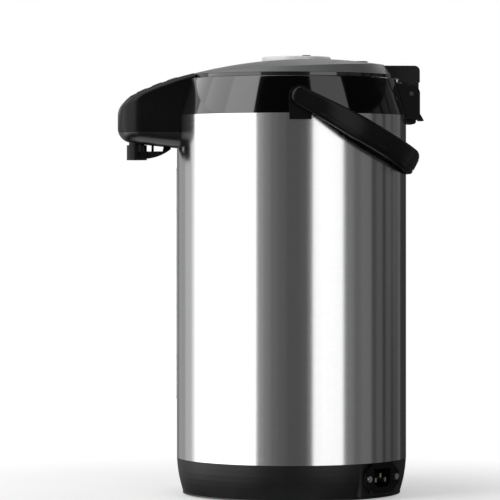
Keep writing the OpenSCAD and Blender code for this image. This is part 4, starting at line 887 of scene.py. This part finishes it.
def floor_material():
    """Pale floor round the pot that passes into the white of the backdrop further out."""
    material, tree, shader = new_material("floor")
    shader.inputs["Roughness"].default_value = 0.6
    shader.inputs["Specular IOR Level"].default_value = 0.2
    here = place(tree)
    distance = tree.nodes.new("ShaderNodeVectorMath")
    distance.operation = "LENGTH"
    tree.links.new(here, distance.inputs[0])
    mottle = noise(tree, here, 14, 3)
    grey = two_tone(tree, mottle, (0.93, 0.93, 0.93), (0.96, 0.96, 0.96))
    tree.links.new(grey, shader.inputs["Base Color"])
    mix = tree.nodes.new("ShaderNodeMixShader")
    tree.links.new(remap(tree, distance.outputs["Value"], 0.4, 1, FLOOR_FADE), mix.inputs[0])
    tree.links.new(shader.outputs[0], mix.inputs[1])
    tree.links.new(tree.nodes.new("ShaderNodeEmission").outputs[0], mix.inputs[2])
    tree.links.new(mix.outputs[0], tree.nodes["Material Output"].inputs[0])
    return material


def only_reflected(name, verts, faces, brightness):
    """A glowing studio surface that only glossy rays see."""
    obj = add_mesh(name, verts, faces, emission(name, brightness))
    obj.visible_camera = obj.visible_diffuse = obj.visible_shadow = obj.visible_transmission = False


def flag(name, from_a, to_a, brightness, low, high):
    """Curved flag or card round the pot: it gives steel and gloss one of their bands."""
    n = max(2, int((to_a - from_a) / 2))
    verts, faces = [], []
    for i in range(n + 1):
        a = math.radians(from_a + (to_a - from_a) * i / n)
        verts += [(FLAG_R * math.cos(a), FLAG_R * math.sin(a), z) for z in (low, high)]
    for i in range(0, 2 * n, 2):
        faces.append((i, i + 2, i + 3, i + 1))
    only_reflected(name, verts, faces, brightness)


floor_corners = [(-FLOOR_HALF, -FLOOR_HALF, 0), (FLOOR_HALF, -FLOOR_HALF, 0), (FLOOR_HALF, FLOOR_HALF, 0),
                 (-FLOOR_HALF, FLOOR_HALF, 0)]
floor = add_mesh("floor", floor_corners, [(0, 1, 2, 3)], floor_material())
floor.visible_glossy = False

# Each flag: from and to in degrees round from the camera's side, brightness, bottom and top.
LOOK = -94.2
FOOT, LOW, MID, HIGH, UPPER, TOP = -1.5, -0.25, 0.385, 0.75, 1.1, 4.0
FLAGS = [
    (-180, -150, 0.22, LOW, MID), (-150, -129, 0.42, LOW, MID), (-129, -114, 0.65, LOW, MID),
    (-114, -108, 1.2, LOW, MID), (-180, -108, 0.8, MID, HIGH), (-108, -34, 2.4, LOW, HIGH),
    (-34, -26, 0.34, LOW, HIGH), (-26, -20, 0.26, LOW, HIGH), (-20, -13, 0.18, LOW, HIGH),
    (-13, -5, 0.145, LOW, HIGH), (-5, 9, 0.115, LOW, HIGH), (9, 15, 0.12, LOW, HIGH),
    (15, 20, 0.2, LOW, HIGH), (20, 51, 1.7, LOW, HIGH), (51, 62, 0.26, LOW, HIGH),
    (62, 70, 0.17, LOW, HIGH), (70, 84, 0.21, LOW, HIGH), (84, 90, 0.07, LOW, HIGH),
    (90, 100, 0.13, LOW, HIGH), (100, 104, 0.03, LOW, HIGH), (104, 114, 0.1, LOW, HIGH),
    (114, 118, 0.03, LOW, HIGH), (118, 130, 0.08, LOW, HIGH), (130, 136, 0.16, LOW, HIGH),
    (136, 180, 0.04, LOW, HIGH), (-180, -130, 0.5, HIGH, TOP), (-130, -100, 2.2, HIGH, TOP),
    (-100, -70, 2.8, HIGH, TOP), (-70, -38, 3.4, HIGH, TOP), (-38, 22, 0.004, HIGH, TOP),
    (22, 60, 1.0, HIGH, TOP), (60, 180, 0.01, UPPER, TOP), (60, 140, 0.01, HIGH, UPPER),
    (140, 180, 1.6, HIGH, UPPER), (-180, 180, 0.01, FOOT, LOW),
]
for i, (from_a, to_a, brightness, low, high) in enumerate(FLAGS):
    flag("flag_%02d" % i, LOOK + from_a, LOOK + to_a, brightness, low, high)
# A card below the pot that lights the beak's belly in the gloss.
turns = [2 * math.pi * i / CARD_SIDES for i in range(CARD_SIDES)]
card = [(CARD_R * math.cos(a), CARD_R * math.sin(a), FOOT - 0.01) for a in turns]
only_reflected("under_card", card, [tuple(range(CARD_SIDES))], CARD_LIGHT)

# ---------------------------------------------------------------- lights, world and camera, in metres

SOFT_LIGHT, WHITE = 0.32, 1.0


def area(name, at, aim_z, size, power):
    """A rectangular lamp aimed at a height on the pot's axis."""
    light = bpy.data.lights.new(name, "AREA")
    light.shape = "RECTANGLE"
    light.size, light.size_y = size
    light.energy = power
    obj = bpy.data.objects.new(name, light)
    bpy.context.scene.collection.objects.link(obj)
    obj.location = at
    obj.rotation_euler = (Vector((0, 0, aim_z)) - Vector(at)).to_track_quat("-Z", "Y").to_euler()


def studio_world():
    """White to the camera, to reflections and through clear parts, and a softer fill to all else."""
    world = bpy.data.worlds.new("studio")
    bpy.context.scene.world = world
    world.use_nodes = True
    tree = world.node_tree
    tree.nodes.clear()
    path = tree.nodes.new("ShaderNodeLightPath")
    camera_ray, glossy_ray, clear_ray = (path.outputs["Is %s Ray" % kind] for kind in
                                         ("Camera", "Glossy", "Transmission"))
    bounced = math_node(tree, "MAXIMUM", glossy_ray, clear_ray)
    mix = tree.nodes.new("ShaderNodeMixShader")
    tree.links.new(math_node(tree, "MAXIMUM", camera_ray, bounced), mix.inputs[0])
    for i, strength in enumerate((SOFT_LIGHT, WHITE)):
        background = tree.nodes.new("ShaderNodeBackground")
        background.inputs[0].default_value = (1, 1, 1, 1)
        background.inputs[1].default_value = strength
        tree.links.new(background.outputs[0], mix.inputs[i + 1])
    tree.links.new(mix.outputs[0], tree.nodes.new("ShaderNodeOutputWorld").inputs[0])


def camera():
    """The photo's view: level and far off, with the pot placed in the picture by a lens shift."""
    lens = bpy.data.cameras.new("camera")
    lens.lens = 222.7
    lens.sensor_width = 36
    lens.shift_x = -0.083
    lens.shift_y = -0.095
    lens.clip_end = 50
    obj = bpy.data.objects.new("camera", lens)
    bpy.context.scene.collection.objects.link(obj)
    obj.location = (-0.2107, -2.8693, 0.270)
    obj.rotation_euler = (math.radians(90), 0, math.radians(-4.2))
    bpy.context.scene.camera = obj


area("key", at=(-2.6, -1.6, 2.0), aim_z=0.25, size=(1.6, 2.2), power=66)
area("fill", at=(1.4, -2.6, 1.6), aim_z=0.25, size=(0.8, 2.0), power=10)
area("top", at=(-0.8, 0.5, 2.8), aim_z=0.3, size=(1.6, 1.6), power=12)
area("rim", at=(2.4, 1.2, 1.3), aim_z=0.35, size=(0.6, 1.6), power=14)
studio_world()
camera()
bpy.context.scene.view_settings.view_transform = "Standard"
